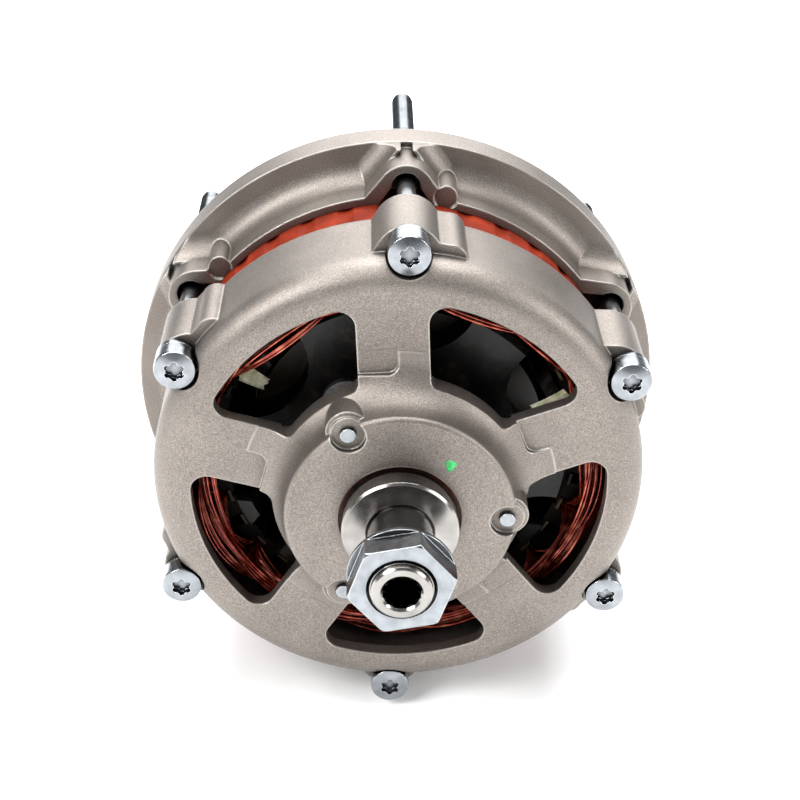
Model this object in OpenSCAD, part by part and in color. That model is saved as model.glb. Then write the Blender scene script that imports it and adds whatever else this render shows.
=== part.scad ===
// Flange-mounted claw-pole alternator with a bare shaft end, in millimetres.
// Every piece is built along the shaft with local +Z forward, then turned so that forward is -Y.
// Local Z = 0 is the rear mounting face of the flange.

/* [Flange and through bolts] */
// Diameter of the mounting flange
flange_d = 153; // [151:0.5:160]
// Thickness of the mounting flange
flange_t = 10; // [8:0.5:12]
// Diameter of the circle on which the six through bolts lie
bolt_pcd = 137; // [136.5:0.1:138]
// Thread diameter of the through bolts
bolt_d = 6; // [5:0.1:6.4]
// Length of bolt that stands out behind the flange as a mounting stud
stud_out = 46; // [38:1:56]
// Diameter of the pan heads of the through bolts
head_d = 11; // [10:0.1:12]
// Height of the pan heads
head_h = 6.4; // [5:0.1:7]
// Diameter of the washers under the heads
washer_d = 11; // [10:0.1:12]
// Thickness of the washers
washer_t = 2; // [1:0.1:2.4]

/* [Housings] */
// Outer diameter of the rear housing's collar
collar_d = 131.6; // [131:0.1:133]
// Height of the collar's front edge above the flange's rear face
collar_h = 23.5; // [21:0.5:27]
// Width of painted core that shows between the two housings
core_gap = 16.5; // [12:0.5:20]
// Outer diameter of the front housing
front_d = 133; // [132:0.1:134]
// Length of the front housing from its rear edge to its face
front_len = 29.5; // [27:0.5:34]
// Radius of the rounded edge between side and face of the front housing
edge_r = 7; // [4:0.5:8]
// Thickness of the front plate
plate_t = 4; // [3:0.5:5]
// Depth to which each housing holds the core
register_h = 7.5; // [5:0.5:9]
// Thickness of the housings beside the end windings
side_t = 4.5; // [3.5:0.1:5]
// Radius of the rounded tips of the front housing's bolt ears
ear_r = 9; // [8:0.1:10]
// Radius of the rounded tips of the rear housing's bolt ears
lobe_r = 8; // [7.4:0.1:8.6]
// Depth of the screw seats behind the front face
seat_drop = 8.5; // [7:0.5:10]

/* [Windows] */
// Number of windows in the front plate
window_n = 5; // [5:1:6]
// Inner radius of the windows
window_in_r = 34; // [33.5:0.5:38]
// Outer radius of the windows
window_out_r = 56; // [50:0.5:57]
// Width of the spokes between the windows
spoke_w = 18.8; // [12:0.2:20]
// Radius of the outer window corners
window_corner_r = 4.5; // [2:0.5:5]
// Angle of the first window's centre, from +X
window_a0 = 58.2; // [50:0.1:66]

/* [Hub] */
// Height of the hub above the front face
hub_h = 14.1; // [13:0.1:17]
// Radius of the hub
hub_r = 30.5; // [30:0.1:31.5]
// Radius of the fillet at the hub's foot
hub_fillet_r = 11; // [8:0.5:12]
// Radius of the opening round the spacer collar
hub_bore_r = 16.2; // [15.9:0.1:17.5]
// Radius of the circle of the bearing retainer screws
retainer_screw_r = 28.3; // [27.6:0.1:29]
// Thread diameter of the retainer screws
retainer_screw_d = 4; // [3:0.1:4.4]
// Thickness of the bearing retainer plate
retainer_t = 2; // [1.5:0.1:2.6]

/* [Stator] */
// Outer diameter of the laminated core
core_d = 127; // [126:0.1:127.5]
// Bore of the laminated core
core_bore_d = 97; // [96:0.1:99]
// Number of winding slots
slot_n = 36; // [36:1:36]
// Width of a slot
slot_w = 3.6; // [3:0.1:4.2]
// Depth of a slot
slot_h = 10; // [9.5:0.1:11]
// Diameter of the bundles of the end windings
bundle_d = 3; // [2.4:0.1:3.1]
// Height of the end windings above the core
end_turn_h = 12; // [10:0.5:13]

/* [Rotor] */
// Running gap between rotor and core
air_gap = 0.4; // [0.3:0.05:0.8]
// Number of claws on each pole
claw_n = 6; // [6:1:6]
// Thickness of a pole's disc
pole_t = 10; // [8:0.5:11]
// Length of the space for the field coil
coil_len = 22.5; // [18:0.5:26]
// Outer diameter of the field coil
coil_d = 82; // [76:0.5:83]
// Radius of the valleys between the claws
valley_r = 16.3; // [14:0.1:16.6]
// Half width of a claw where it leaves the disc
claw_root_w = 9.4; // [9:0.1:10]
// Half width of a claw at its tip
claw_tip_w = 4.6; // [3.5:0.1:5.5]
// Angle at which the first front claw rests, from +X
claw_a0 = 56; // [40:1:70]

/* [Shaft end] */
// Diameter of the shaft's drive seat
shaft_d = 17; // [16.4:0.1:17]
// Outer diameter of the spacer collar
spacer_d = 30.6; // [28:0.1:31]
// Length by which the spacer collar stands out of the hub
spacer_out = 6.5; // [4:0.5:9]
// Length of the free drive seat between spacer collar and nut
seat_len = 16.9; // [12:0.1:24]
// Width across flats of the shaft nut
nut_af = 24; // [22:0.5:26]
// Height of the shaft nut with its washer face
nut_h = 7.2; // [6:0.1:10]
// Thread diameter of the shaft end
thread_d = 16; // [14:0.1:16.2]
// Length of shaft that stands out of the nut
tip_out = 1.8; // [1:0.1:4]
// Width over corners of the twelve-point socket in the shaft end
socket_d = 10; // [8:0.1:10.4]

/* [Bearings] */
// Outer diameter of the front bearing
front_brg_d = 47; // [46:0.1:47.4]
// Width of both rings of the front bearing
front_brg_w = 14; // [13:0.1:14.4]
// Outer diameter of the rear bearing
rear_brg_d = 35; // [34:0.1:36]
// Width of both rings of the rear bearing
rear_brg_w = 11; // [10:0.1:11.5]
// Bore of the rear bearing
rear_brg_bore = 15; // [13:0.1:15.4]

/* [Rear end] */
// Outer diameter of the rear bell
bell_d = 120; // [118:0.5:121]
// Depth of the rear bell behind the flange's rear face
bell_h = 38; // [37:0.5:41]
// Thickness of the bell's wall
bell_t = 3.5; // [3:0.1:4]
// Diameter of the slip rings
slip_d = 28; // [27:0.1:29]
// Width of each slip ring
slip_w = 5; // [4:0.1:5.6]
// Distance between the centres of the two slip rings
slip_pitch = 7.5; // [7:0.1:8]
// Width of a carbon brush across the slip ring
brush_w = 6.4; // [5:0.1:7]
// Thickness of a carbon brush along the shaft
brush_t = 4.6; // [3.6:0.1:4.8]
// Thread diameter of the battery terminal
battery_d = 8; // [6:0.1:8.4]

/* [Hidden] */
$fn = 96;
// Clearance of parts that are fixed together
seat_c = 0.02;
// Clearance of parts that turn or slide on each other
run_c = 0.05;

bolt_n = 6;
bolt_r = bolt_pcd / 2;
bolt_a0 = 30;
bolt_thread_r = bolt_d / 2 - 0.1;
bolt_shank_r = bolt_d / 2 - 0.35;
mouth_c = 0.35;
mouth_h = 0.6;

front_z = collar_h + core_gap;
face_z = front_z + front_len;
plate_z = face_z - plate_t;
hub_z = face_z + hub_h;
seat_z = face_z - seat_drop;
front_r = front_d / 2;
collar_r = collar_d / 2;
flange_r = flange_d / 2;

core_r = core_d / 2;
core_bore_r = core_bore_d / 2;
core_z0 = collar_h - register_h;
core_z1 = front_z + register_h;
core_mid = (core_z0 + core_z1) / 2;
slot_r = core_bore_r + slot_h;
slot_lip = 1;
cavity_r = front_r - side_t;
// Slots round the bolts, and casting lobes clockwise of each ear
pocket_r = 4;
front_pocket_r = 3.6;
ear_out = 4.9;
lobe_out = 6.2;
side_lobe_a = -9.6;
side_lobe_r = 4.4;
side_drop = 0.8;
foot_r = 6;
foot_sink = 0.15;
// Low pad round the hub, cut back on one half of each spoke
pad_t = 0.4;
pad_r = 42.3;
pad_cut_r = 36.2;
pad_cut_y = 1.3;
pad_corner_r = 3;
inner_corner_r = 2.5;
corner_step = 0.5;
arc_step = 0.05;
rim_h = 0.05;
window_half_a = 180 / window_n;
dome_r = 16;
scallop_r = 5;
scallop_h = 0.7;

// Windings: bars in the slots, risers and end turns above and below the core
wedge_t = 0.8;
bar_out = 2.5;
riser_r = bundle_d / 2 - 0.25;
riser_over = 0.8;
turn_floor_z = core_z0 - end_turn_h - 1;

rotor_r = core_bore_r - air_gap;
pole_z0 = core_mid - coil_len / 2 - pole_t;
pole_z1 = core_mid + coil_len / 2 + pole_t;
coil_r = coil_d / 2;
core_shaft_r = 10;
pole_core_r = 19;
bobbin_t = 1.2;
claw_root_in = coil_r + 0.6;
claw_tip_in = rotor_r - 3.8;
claw_tip_gap = 2;
valley_c = 50;
coil_z0 = pole_z0 + pole_t;
coil_z1 = pole_z1 - pole_t;

// Front bearing, from the hub lip backwards
lip_t = 3;
front_brg_z1 = hub_z - lip_t;
front_brg_z0 = front_brg_z1 - front_brg_w;
front_brg_r = front_brg_d / 2;
retainer_z = front_brg_z0 - retainer_t;
retainer_n = 3;
retainer_lobe_r = 7;
screw_pad_r = 4.6;
screw_pad_drop = 2;
front_ball_n = 7;
front_ball_r = 4.2;
front_pitch_r = (front_brg_r + shaft_d / 2) / 2;
front_inner_r = front_pitch_r - front_ball_r + 1.2;
front_outer_r = front_pitch_r + front_ball_r - 1.2;
front_brg_mid = (front_brg_z0 + front_brg_z1) / 2;
shoulder_r = 11;
seal_t = 1.6;
seal_r = hub_bore_r + 3;

// Shaft end, from the hub forwards
spacer_z = hub_z + spacer_out;
nut_z = spacer_z + seat_len;
nut_front_z = nut_z + nut_h;
tip_z = nut_front_z + tip_out;
nut_corner_r = nut_af / sqrt(3);
nut_face_r = nut_af / 2 - 0.5;
nut_a = 12.6;
socket_depth = 14;
washer_face_h = 2.4;

// Rear end, from the flange backwards
bell_r = bell_d / 2;
wall_t = 4;
bell_corner_r = 3;
wall_z = -bell_h + wall_t;
rear_brg_r = rear_brg_d / 2;
rear_brg_z1 = wall_z - 2;
rear_brg_z0 = rear_brg_z1 - rear_brg_w;
boss_r = rear_brg_r + 5;
cap_t = 3;
boss_z = rear_brg_z0 - cap_t;
rear_seat_r = rear_brg_bore / 2;
rear_ball_n = 8;
rear_ball_r = 3;
rear_pitch_r = (rear_brg_r + rear_seat_r) / 2;
rear_inner_r = rear_pitch_r - rear_ball_r + 0.9;
rear_outer_r = rear_pitch_r + rear_ball_r - 0.9;
rear_brg_mid = (rear_brg_z0 + rear_brg_z1) / 2;
slip_r = slip_d / 2;
sleeve_r = 11.4;
slip_z2 = rear_brg_z1 + 5 + slip_w / 2;
slip_z1 = slip_z2 + slip_pitch;
sleeve_z0 = slip_z2 - slip_w / 2 - 1.4;
sleeve_z1 = slip_z1 + slip_w / 2 + 2.4;
slip_shaft_r = 8.4;
rear_shaft_r = 9;

// Rectifier: two horseshoe plates over the top of the rear wall
plate_in_r = 26;
plate_out_r = bell_r - bell_t - 3.5;
neg_t = 3.5;
pos_t = 3.5;
neg_z1 = wall_z + neg_t;
pillar_h = 8;
pos_z0 = neg_z1 + pillar_h;
pos_z1 = pos_z0 + pos_t;
rectifier_from = -18;
rectifier_to = 198;
pillar_r = bell_r - bell_t - 8;
pillar_angles = [-10, 70, 110, 190];
diode_r = 6.35;
diode_pcr = 38;
diode_angles = [12, 90, 165];
battery_a = 36;
battery_r = 41;
battery_out = 18;
shank_r = battery_d / 2 + 0.3;
terminal_nut_h = battery_d * 0.8;
stud_free_z = -bell_h - 2.5 - terminal_nut_h - 0.4;
lead_angles = [55, 90, 152];
lead_r = 1.4;
lead_at = bell_r - bell_t - lead_r - 1.2;

// Air slots in the rear wall, kept off the battery terminal
vent_angles = [for (a = [-20 : 20 : 200]) if (abs(a - battery_a) > 14) a];
vent_w = 7;
vent_len = 14;

// Brush gear, at the bottom of the rear wall
brush_a = 270;
brush_gap = 0.02;
brush_len = 9;
brush_top = -slip_r - brush_gap;
brush_bottom = brush_top - brush_len;
spring_len = 9;
spring_floor = brush_bottom - spring_len;
spring_r = 1.9;
spring_wire_r = 0.3;
spring_turns = 6;
spring_steps = 14;
spring_sides = 6;
holder_wall = 1.6;
holder_w = brush_w + 2 * holder_wall + 0.2;
holder_x0 = -brush_top + 2.2;
holder_x1 = -spring_floor + holder_wall;
neck_x0 = boss_r + 3.6;
regulator_w = 44;
regulator_h = 25;
regulator_t = 13;
regulator_screw_r = 41;
regulator_screw_a = 24;
regulator_screw_angles = [brush_a - regulator_screw_a, brush_a + regulator_screw_a];
suppressor_a = 225;
suppressor_r = 46;
tab_w = 12;
tab_t = 1.5;
can_l = 16;
can_h = 12;

// Turns a piece built along the shaft into the part's frame
module on_axis() rotate([90, 0, 0]) children();

// Copies a piece n times round the shaft at radius r
module around(n, r, a0 = 0)
  for (i = [0 : n - 1]) rotate([0, 0, a0 + i * 360 / n]) translate([r, 0, 0]) children();

// Places a piece at radius r for each angle of a list
module at_angles(list, r)
  for (a = list) rotate([0, 0, a]) translate([r, 0, 0]) children();

module rod(r, z0, z1) translate([0, 0, z0]) cylinder(r = r, h = z1 - z0);

module tube(r_out, r_in, z0, z1) difference() {
  rod(r_out, z0, z1);
  rod(r_in, z0 - 1, z1 + 1);
}

// Rod with a 45-degree chamfer at each end
module chamfered_rod(r, z0, z1, c) {
  rod(r, z0 + c, z1 - c);
  translate([0, 0, z0]) cylinder(r1 = r - c, r2 = r, h = c);
  translate([0, 0, z1 - c]) cylinder(r1 = r, r2 = r - c, h = c);
}

// Corner piece that fills an inside corner with a fillet of radius r
module fillet_2d(r) difference() {
  square(r);
  translate([r, r]) circle(r);
}

// Square from the axis out to r, between two heights, with its upper outer edge rounded
module rounded_block_2d(r, z0, z1, round_r) {
  translate([0, z0]) square([r, z1 - round_r - z0]);
  translate([0, z0]) square([r - round_r, z1 - z0]);
  translate([r - round_r, z1 - round_r]) circle(round_r);
}

// Outline of a bolt ear: a round end with straight flanks down into the wall
module ear_2d(out, r, flank_a, foot_r) {
  centre = bolt_r + out - r;
  tip = centre + (r - arc_step) * cos(flank_a);
  side = (r - arc_step) * sin(flank_a);
  spread = side + (tip - foot_r) / tan(flank_a);
  translate([centre, 0]) circle(r);
  polygon([[tip, side], [tip, -side], [foot_r, -spread], [foot_r, spread]]);
}

// The six ears of a housing with a small casting lobe clockwise of each, outside the wall's middle
module ears(out, r, flank_a, lobe_at, small_r, fill, z0, z1)
  translate([0, 0, z0]) linear_extrude(z1 - z0) difference() {
    for (i = [0 : bolt_n - 1]) rotate(bolt_a0 + i * 60) {
      ear_2d(out, r, flank_a, core_r + 1);
      rotate(side_lobe_a) translate([lobe_at, 0]) circle(small_r);
      rotate(side_lobe_a) translate([core_r, 0]) square([lobe_at + small_r - foot_sink - core_r, fill]);
    }
    circle(core_r + 1);
  }

// Fillet along one flank of an ear, down on the flange and out past the flange's edge
module flank_fillet(out, r, flank_a, z) {
  c = foot_r - foot_sink;
  translate([bolt_r + out - r, 0, z]) rotate([0, 0, flank_a]) translate([r, 14, 0])
    rotate([90, 0, 0]) linear_extrude(22) difference() {
      translate([-1, -1]) square(c + 1);
      translate([c, c]) circle(foot_r);
    }
}

// Slots round the bolts, open towards the core and wider there by flare on each side
module bolt_pockets(r, flare, z0, z1)
  for (i = [0 : bolt_n - 1]) rotate([0, 0, bolt_a0 + i * 60]) translate([0, 0, z0])
    linear_extrude(z1 - z0) {
      translate([bolt_r, 0]) circle(r);
      polygon([[bolt_r, 0.2 - r], [bolt_r, r - 0.2], [core_r - 1, r + flare], [core_r - 1, -r - flare]]);
    }

// Pie slice of a ring, centred on +X
module ring_slice(half_a, r_in, r_out) intersection() {
  difference() {
    circle(r_out);
    circle(r_in);
  }
  polygon([[0, 0], 2 * r_out * [cos(half_a), -sin(half_a)], 2 * r_out * [cos(half_a), sin(half_a)]]);
}

// Radius at which a corner circle touches the side of a spoke
function foot_at(centre_r, corner) =
  sqrt(pow(centre_r, 2) + pow(spoke_w / 2, 2) - pow(spoke_w / 2 + corner, 2));

// Angle between the window's centre line and a corner circle's centre
function corner_a(centre_r, corner) = window_half_a - asin((spoke_w / 2 + corner) / centre_r);

// Window between two spokes with parallel sides: a middle zone, an outer and an inner slice that
// stop just short of the corners, and a circle in each corner
module window_2d() {
  outer_c = window_out_r - window_corner_r;
  inner_c = window_in_r + inner_corner_r;
  difference() {
    circle(foot_at(outer_c, window_corner_r) - corner_step);
    circle(foot_at(inner_c, inner_corner_r) + corner_step);
    for (s = [-1, 1]) rotate(s * window_half_a)
      translate([-flange_r, s > 0 ? -spoke_w / 2 : spoke_w / 2 - flange_d]) square(flange_d);
  }
  ring_slice(corner_a(outer_c, window_corner_r) - corner_step, inner_c + 4, window_out_r);
  ring_slice(corner_a(inner_c, inner_corner_r) - corner_step, window_in_r, inner_c + 5);
  for (s = [-1, 1]) {
    rotate(s * corner_a(outer_c, window_corner_r)) translate([outer_c, 0]) circle(window_corner_r);
    rotate(s * corner_a(inner_c, inner_corner_r)) translate([inner_c, 0]) circle(inner_corner_r);
  }
}

module front_shell_2d() difference() {
  union() {
    rounded_block_2d(front_r, front_z - 1.5, face_z, edge_r);
    rounded_block_2d(hub_r, plate_z, hub_z, 1.4);
    translate([hub_r - 1, plate_z + 1]) square([pad_r - hub_r + 1, plate_t - 1 + pad_t]);
    translate([hub_r, face_z + pad_t]) fillet_2d(hub_fillet_r);
  }
  square([core_r + seat_c, core_z1]);
  square([cavity_r - 3, plate_z]);
  translate([0, core_z1 - 1]) square([cavity_r, plate_z - 3 - core_z1 + 1]);
  translate([cavity_r - 3, plate_z - 3]) circle(3);
  square([front_brg_r + seat_c, front_brg_z1]);
  translate([0, front_brg_z1 - 1]) square([seal_r, 1 + seal_t]);
  square([hub_bore_r, hub_z + 1]);
}

// Where the pad and the hub's foot are cut back on one half of a spoke
module pad_cut_2d() {
  corner_x = pad_cut_r + pad_corner_r;
  corner_y = pad_corner_r - pad_cut_y;
  translate([corner_x, corner_y]) circle(pad_corner_r);
  translate([corner_x + corner_step, -pad_cut_y]) square([pad_r + 0.7 - corner_x - corner_step, spoke_w]);
  translate([pad_cut_r, corner_y + corner_step]) square([pad_r - pad_cut_r, spoke_w]);
}

// Front housing: plate with windows, bearing hub and six bolt ears, cast in one piece
module front_housing() color("#aaa29a") on_axis() difference() {
  union() {
    difference() {
      union() {
        rotate_extrude() front_shell_2d();
        ears(ear_out, ear_r, 60, bolt_r - 3.5, side_lobe_r, 5, front_z - 1, seat_z + rim_h);
      }
      for (i = [0 : window_n - 1]) rotate([0, 0, window_a0 + i * 360 / window_n])
        translate([0, 0, plate_z - 1]) linear_extrude(plate_t + hub_h) window_2d();
      for (i = [0 : window_n - 1]) rotate([0, 0, window_a0 + (i + 0.5) * 360 / window_n])
        translate([0, 0, face_z - 0.05]) linear_extrude(hub_h) pad_cut_2d();
      rod(flange_r, front_z - 3, front_z);
    }
    around(retainer_n, retainer_screw_r) rod(screw_pad_r + 1.2, front_brg_z0, hub_z - screw_pad_drop - 1);
    around(retainer_n, retainer_screw_r) rod(screw_pad_r, front_brg_z0, hub_z - screw_pad_drop);
  }
  rod(front_brg_r + seat_c, front_brg_z0 - 1, front_brg_z1);
  around(retainer_n, retainer_screw_r) rod(screw_pad_r, hub_z - screw_pad_drop, hub_z + 1);
  around(retainer_n, retainer_screw_r) rod(retainer_screw_d / 2 + seat_c, plate_z - 1, hub_z);
  rod(retainer_screw_r + retainer_lobe_r + 1, plate_z - 1, front_brg_z0);
  bolt_pockets(front_pocket_r, 0, front_z - 1, seat_z - 6);
  around(bolt_n, bolt_r, bolt_a0) rod(washer_d / 2 + 0.9, seat_z, face_z + 1);
  around(bolt_n, bolt_r, bolt_a0) rod(bolt_d / 2 + 0.2, front_z, face_z);
}

module rear_shell_2d() difference() {
  union() {
    translate([0, flange_t - 1]) square([collar_r, collar_h - flange_t + 2.5]);
    translate([collar_r, flange_t]) fillet_2d(foot_r);
    square([flange_r, flange_t]);
    mirror([0, 1]) rounded_block_2d(bell_r, -1, bell_h, 8);
    mirror([0, 1]) rounded_block_2d(boss_r, wall_z, -boss_z, 2);
    translate([boss_r, -bell_h]) mirror([0, 1]) fillet_2d(3);
  }
  translate([0, core_z0]) square([core_r + seat_c, collar_h]);
  translate([0, turn_floor_z]) square([core_r - 2.5, core_z0]);
  translate([0, wall_z + bell_corner_r]) square([bell_r - bell_t, core_z0 - wall_z]);
  translate([0, wall_z]) square([bell_r - bell_t - bell_corner_r, bell_corner_r + 1]);
  translate([bell_r - bell_t - bell_corner_r, wall_z + bell_corner_r]) circle(bell_corner_r);
  translate([0, rear_brg_z0]) square([rear_brg_r + seat_c, rear_brg_w + 3]);
}

// Rear housing: collar, mounting flange, bell and bearing boss, cast in one piece
module rear_housing() color("#a79f97") on_axis() difference() {
  union() {
    rotate_extrude() rear_shell_2d();
    ears(lobe_out, lobe_r, 53, bolt_r - 2, side_lobe_r - 1.2, 0.1, flange_t - 1, collar_h + 1);
    intersection() {
      rod(flange_r - 0.3, flange_t - 2, collar_h);
      for (i = [0 : bolt_n - 1]) rotate([0, 0, bolt_a0 + i * 60]) {
        flank_fillet(lobe_out, lobe_r, 53, flange_t);
        mirror([0, 1, 0]) flank_fillet(lobe_out, lobe_r, 53, flange_t);
      }
    }
  }
  rod(flange_r, collar_h, collar_h + 3);
  bolt_pockets(pocket_r, 3.8, flange_t, collar_h + 1);
  around(bolt_n, bolt_r - 2, bolt_a0 + side_lobe_a)
    rod(side_lobe_r - 1, collar_h - side_drop, collar_h + 1);
  around(bolt_n, bolt_r, bolt_a0) rod(bolt_thread_r + seat_c, -1, flange_t + 1);
  around(bolt_n, bolt_r, bolt_a0) rod(bolt_d / 2 + mouth_c, -1, mouth_h);
  for (a = vent_angles) rotate([0, 0, a]) translate([0, 0, -bell_h - 1]) linear_extrude(wall_t + 2) {
    translate([boss_r + 8, -vent_w / 2]) square([vent_len, vent_w]);
    for (x = [0, vent_len]) translate([boss_r + 8 + x, 0]) circle(vent_w / 2);
  }
  at_angles(pillar_angles, pillar_r) rod(2 + seat_c, -bell_h - 1, wall_z + 1);
  at_angles([battery_a], battery_r) rod(battery_d / 2 + 2 + seat_c, -bell_h - 1, wall_z + 1);
  rotate([0, 0, brush_a]) translate([neck_x0 - 0.4, -holder_w / 2 - 0.4, -bell_h - 1])
    cube([holder_x1 - neck_x0 + 0.8, holder_w + 0.8, wall_t + 2]);
  at_angles(regulator_screw_angles, regulator_screw_r) rod(2 + seat_c, -bell_h - 1, wall_z + 1);
  at_angles([suppressor_a], suppressor_r) rod(2 + seat_c, -bell_h - 1, wall_z + 1);
}

// Laminated core: ring with open slots and a scalloped outside
module stator_core() color("#b8442c") on_axis() difference() {
  tube(core_r, core_bore_r, core_z0, core_z1);
  around(slot_n, core_r + scallop_r - scallop_h, 180 / slot_n)
    rod(scallop_r, core_z0 - 1, core_z1 + 1);
  for (i = [0 : slot_n - 1]) rotate([0, 0, i * 360 / slot_n]) translate([0, 0, core_z0 - 1])
    linear_extrude(core_z1 - core_z0 + 2) {
      translate([core_bore_r - 1, -slot_w / 4]) square([slot_lip + 1.5, slot_w / 2]);
      translate([core_bore_r + slot_lip, -slot_w / 2]) square([slot_h - slot_lip, slot_w]);
    }
}

// Thin strips that close the slots towards the rotor
module slot_wedges() color("#d9cfa8") on_axis()
  for (i = [0 : slot_n - 1]) rotate([0, 0, i * 360 / slot_n])
    translate([core_bore_r + slot_lip + seat_c, -slot_w / 2 + seat_c, core_z0 - 1])
      cube([wedge_t, slot_w - 2 * seat_c, core_z1 - core_z0 + 2]);

// One phase: bars in every third slot, joined by end turns in the phase's own layer
module phase_winding(phase) {
  layer = slot_r - bundle_d / 2 - 0.2 - phase * (bundle_d + 0.25);
  bar_r0 = core_bore_r + slot_lip + wedge_t + 3 * seat_c;
  turn_z = end_turn_h - bundle_d / 2;
  pitch = 360 / slot_n;
  for (i = [0 : slot_n / 3 - 1]) rotate([0, 0, (3 * i + phase) * pitch]) {
    translate([bar_r0, -slot_w / 2 + seat_c, core_z0 - bar_out])
      cube([slot_r - bar_r0 - seat_c, slot_w - 2 * seat_c, core_z1 - core_z0 + 2 * bar_out]);
    translate([layer, 0, 0]) rod(riser_r, core_z1 + bar_out - 0.5, core_z1 + turn_z + riser_over);
    translate([layer, 0, 0]) rod(riser_r, core_z0 - turn_z - riser_over, core_z0 - bar_out + 0.5);
    end = i % 2 == 0 ? core_z1 + turn_z : core_z0 - turn_z;
    translate([0, 0, end]) rotate_extrude(angle = 3 * pitch) translate([layer, 0]) circle(bundle_d / 2);
  }
}
module phase_winding_u() color("#8c2a1a") on_axis() phase_winding(0);
module phase_winding_v() color("#93301e") on_axis() phase_winding(1);
module phase_winding_w() color("#86261a") on_axis() phase_winding(2);

// Sleeved leads from the three phases to the rectifier
module phase_leads() color("#2a2320") on_axis() at_angles(lead_angles, lead_at) {
  rod(lead_r, pos_z1 + 3, core_z0 - end_turn_h - 0.3);
  translate([0, 0, pos_z1 + 3]) sphere(lead_r);
  translate([0, 0, pos_z1 + 3]) rotate([0, -90, 0]) cylinder(r = lead_r, h = 8);
}

// Six-lobe driver recess
module lobe_recess(r, depth) translate([0, 0, -depth]) linear_extrude(depth + 1) {
  circle(r * 0.78);
  for (i = [0 : 5]) rotate(60 * i) translate([r * 0.72, 0]) circle(r * 0.28);
}

module through_bolts() color("#c9ccd0") on_axis() around(bolt_n, bolt_r, bolt_a0) {
  z = seat_z + washer_t;
  difference() {
    rotate_extrude() intersection() {
      rounded_block_2d(head_d / 2, z, z + head_h, 1.6);
      translate([0, z - dome_r + head_h]) circle(dome_r);
    }
    translate([0, 0, z + head_h]) lobe_recess(2.8, 2);
  }
  rod(bolt_d / 2, -stud_out + 1, 0);
  rod(bolt_thread_r, -1, flange_t);
  rod(bolt_shank_r, flange_t - 1, z);
  translate([0, 0, -stud_out]) cylinder(r1 = bolt_d / 2 - 1, r2 = bolt_d / 2, h = 1);
}

module bolt_washers() color("#c4c8cc") on_axis() around(bolt_n, bolt_r, bolt_a0)
  tube(washer_d / 2, bolt_d / 2 + 0.2, seat_z, seat_z + washer_t);

// Bearing ring with a groove for the balls
module bearing_ring(r_out, r_in, z0, z1, pitch_r, ball_r) rotate_extrude() difference() {
  translate([r_in, z0]) square([r_out - r_in, z1 - z0]);
  translate([pitch_r, (z0 + z1) / 2]) circle(ball_r + run_c);
}

module front_bearing_outer_ring() color("#b9bdc2") on_axis()
  bearing_ring(front_brg_r, front_outer_r, front_brg_z0, front_brg_z1, front_pitch_r, front_ball_r);

module front_bearing_inner_ring() color("#b9bdc2") on_axis()
  bearing_ring(front_inner_r, shaft_d / 2 + seat_c, front_brg_z0, front_brg_z1, front_pitch_r,
    front_ball_r);

// Ball cage: a band on the pitch circle with a pocket for each ball
module ball_cage(pitch_r, ball_r, n, mid, h) difference() {
  tube(pitch_r + 0.8, pitch_r - 0.8, mid - h / 2, mid + h / 2);
  around(n, pitch_r - 2) translate([0, 0, mid]) rotate([0, 90, 0]) cylinder(r = ball_r + run_c, h = 4);
}

module front_bearing_cage() color("#a08c5a") on_axis()
  ball_cage(front_pitch_r, front_ball_r, front_ball_n, front_brg_mid, 9.6);

module front_bearing_balls() color("#d5d8dc") on_axis()
  around(front_ball_n, front_pitch_r) translate([0, 0, front_brg_mid]) sphere(front_ball_r);

// Rubber seals on both faces of the front bearing, held in the outer ring
module front_bearing_seals() color("#6b2a1c") on_axis()
  for (z = [front_brg_z0 + 0.4, front_brg_z1 - 1.4])
    tube(front_outer_r - seat_c, front_inner_r + run_c, z, z + 1);

// Dust seal in the hub lip round the spacer collar
module hub_seal() color("#5a2216") on_axis()
  tube(seal_r - seat_c, spacer_d / 2 + run_c, front_brg_z1 + seat_c, front_brg_z1 + seal_t - seat_c);

// Sheet-metal plate that holds the front bearing from inside
module bearing_retainer() color("#8f9092") on_axis() difference() {
  union() {
    rod(front_brg_r + 4, retainer_z, front_brg_z0);
    around(retainer_n, retainer_screw_r) rod(retainer_lobe_r, retainer_z, front_brg_z0);
  }
  rod(front_outer_r - 1, retainer_z - 1, front_brg_z0 + 1);
  around(retainer_n, retainer_screw_r) rod(retainer_screw_d / 2 + 0.2, retainer_z - 1, front_brg_z0 + 1);
}

module retainer_screws() color("#c9ccd0") on_axis() around(retainer_n, retainer_screw_r) {
  rod(retainer_screw_d / 2, retainer_z, hub_z - 0.8);
  difference() {
    rod(retainer_screw_d * 0.9, retainer_z - 2.2, retainer_z);
    mirror([0, 0, 1]) translate([0, 0, -retainer_z + 2.2]) lobe_recess(1.8, 1.2);
  }
}

module rear_bearing_outer_ring() color("#b9bdc2") on_axis()
  bearing_ring(rear_brg_r, rear_outer_r, rear_brg_z0, rear_brg_z1, rear_pitch_r, rear_ball_r);

module rear_bearing_inner_ring() color("#b9bdc2") on_axis()
  bearing_ring(rear_inner_r, rear_seat_r + seat_c, rear_brg_z0, rear_brg_z1, rear_pitch_r, rear_ball_r);

module rear_bearing_cage() color("#a08c5a") on_axis()
  ball_cage(rear_pitch_r, rear_ball_r, rear_ball_n, rear_brg_mid, 7);

module rear_bearing_balls() color("#d5d8dc") on_axis()
  around(rear_ball_n, rear_pitch_r) translate([0, 0, rear_brg_mid]) sphere(rear_ball_r);

// Twelve-point socket: three squares turned by 30 degrees
module socket_2d() for (i = [0 : 2]) rotate(30 * i) square(socket_d / sqrt(2), center = true);

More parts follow.
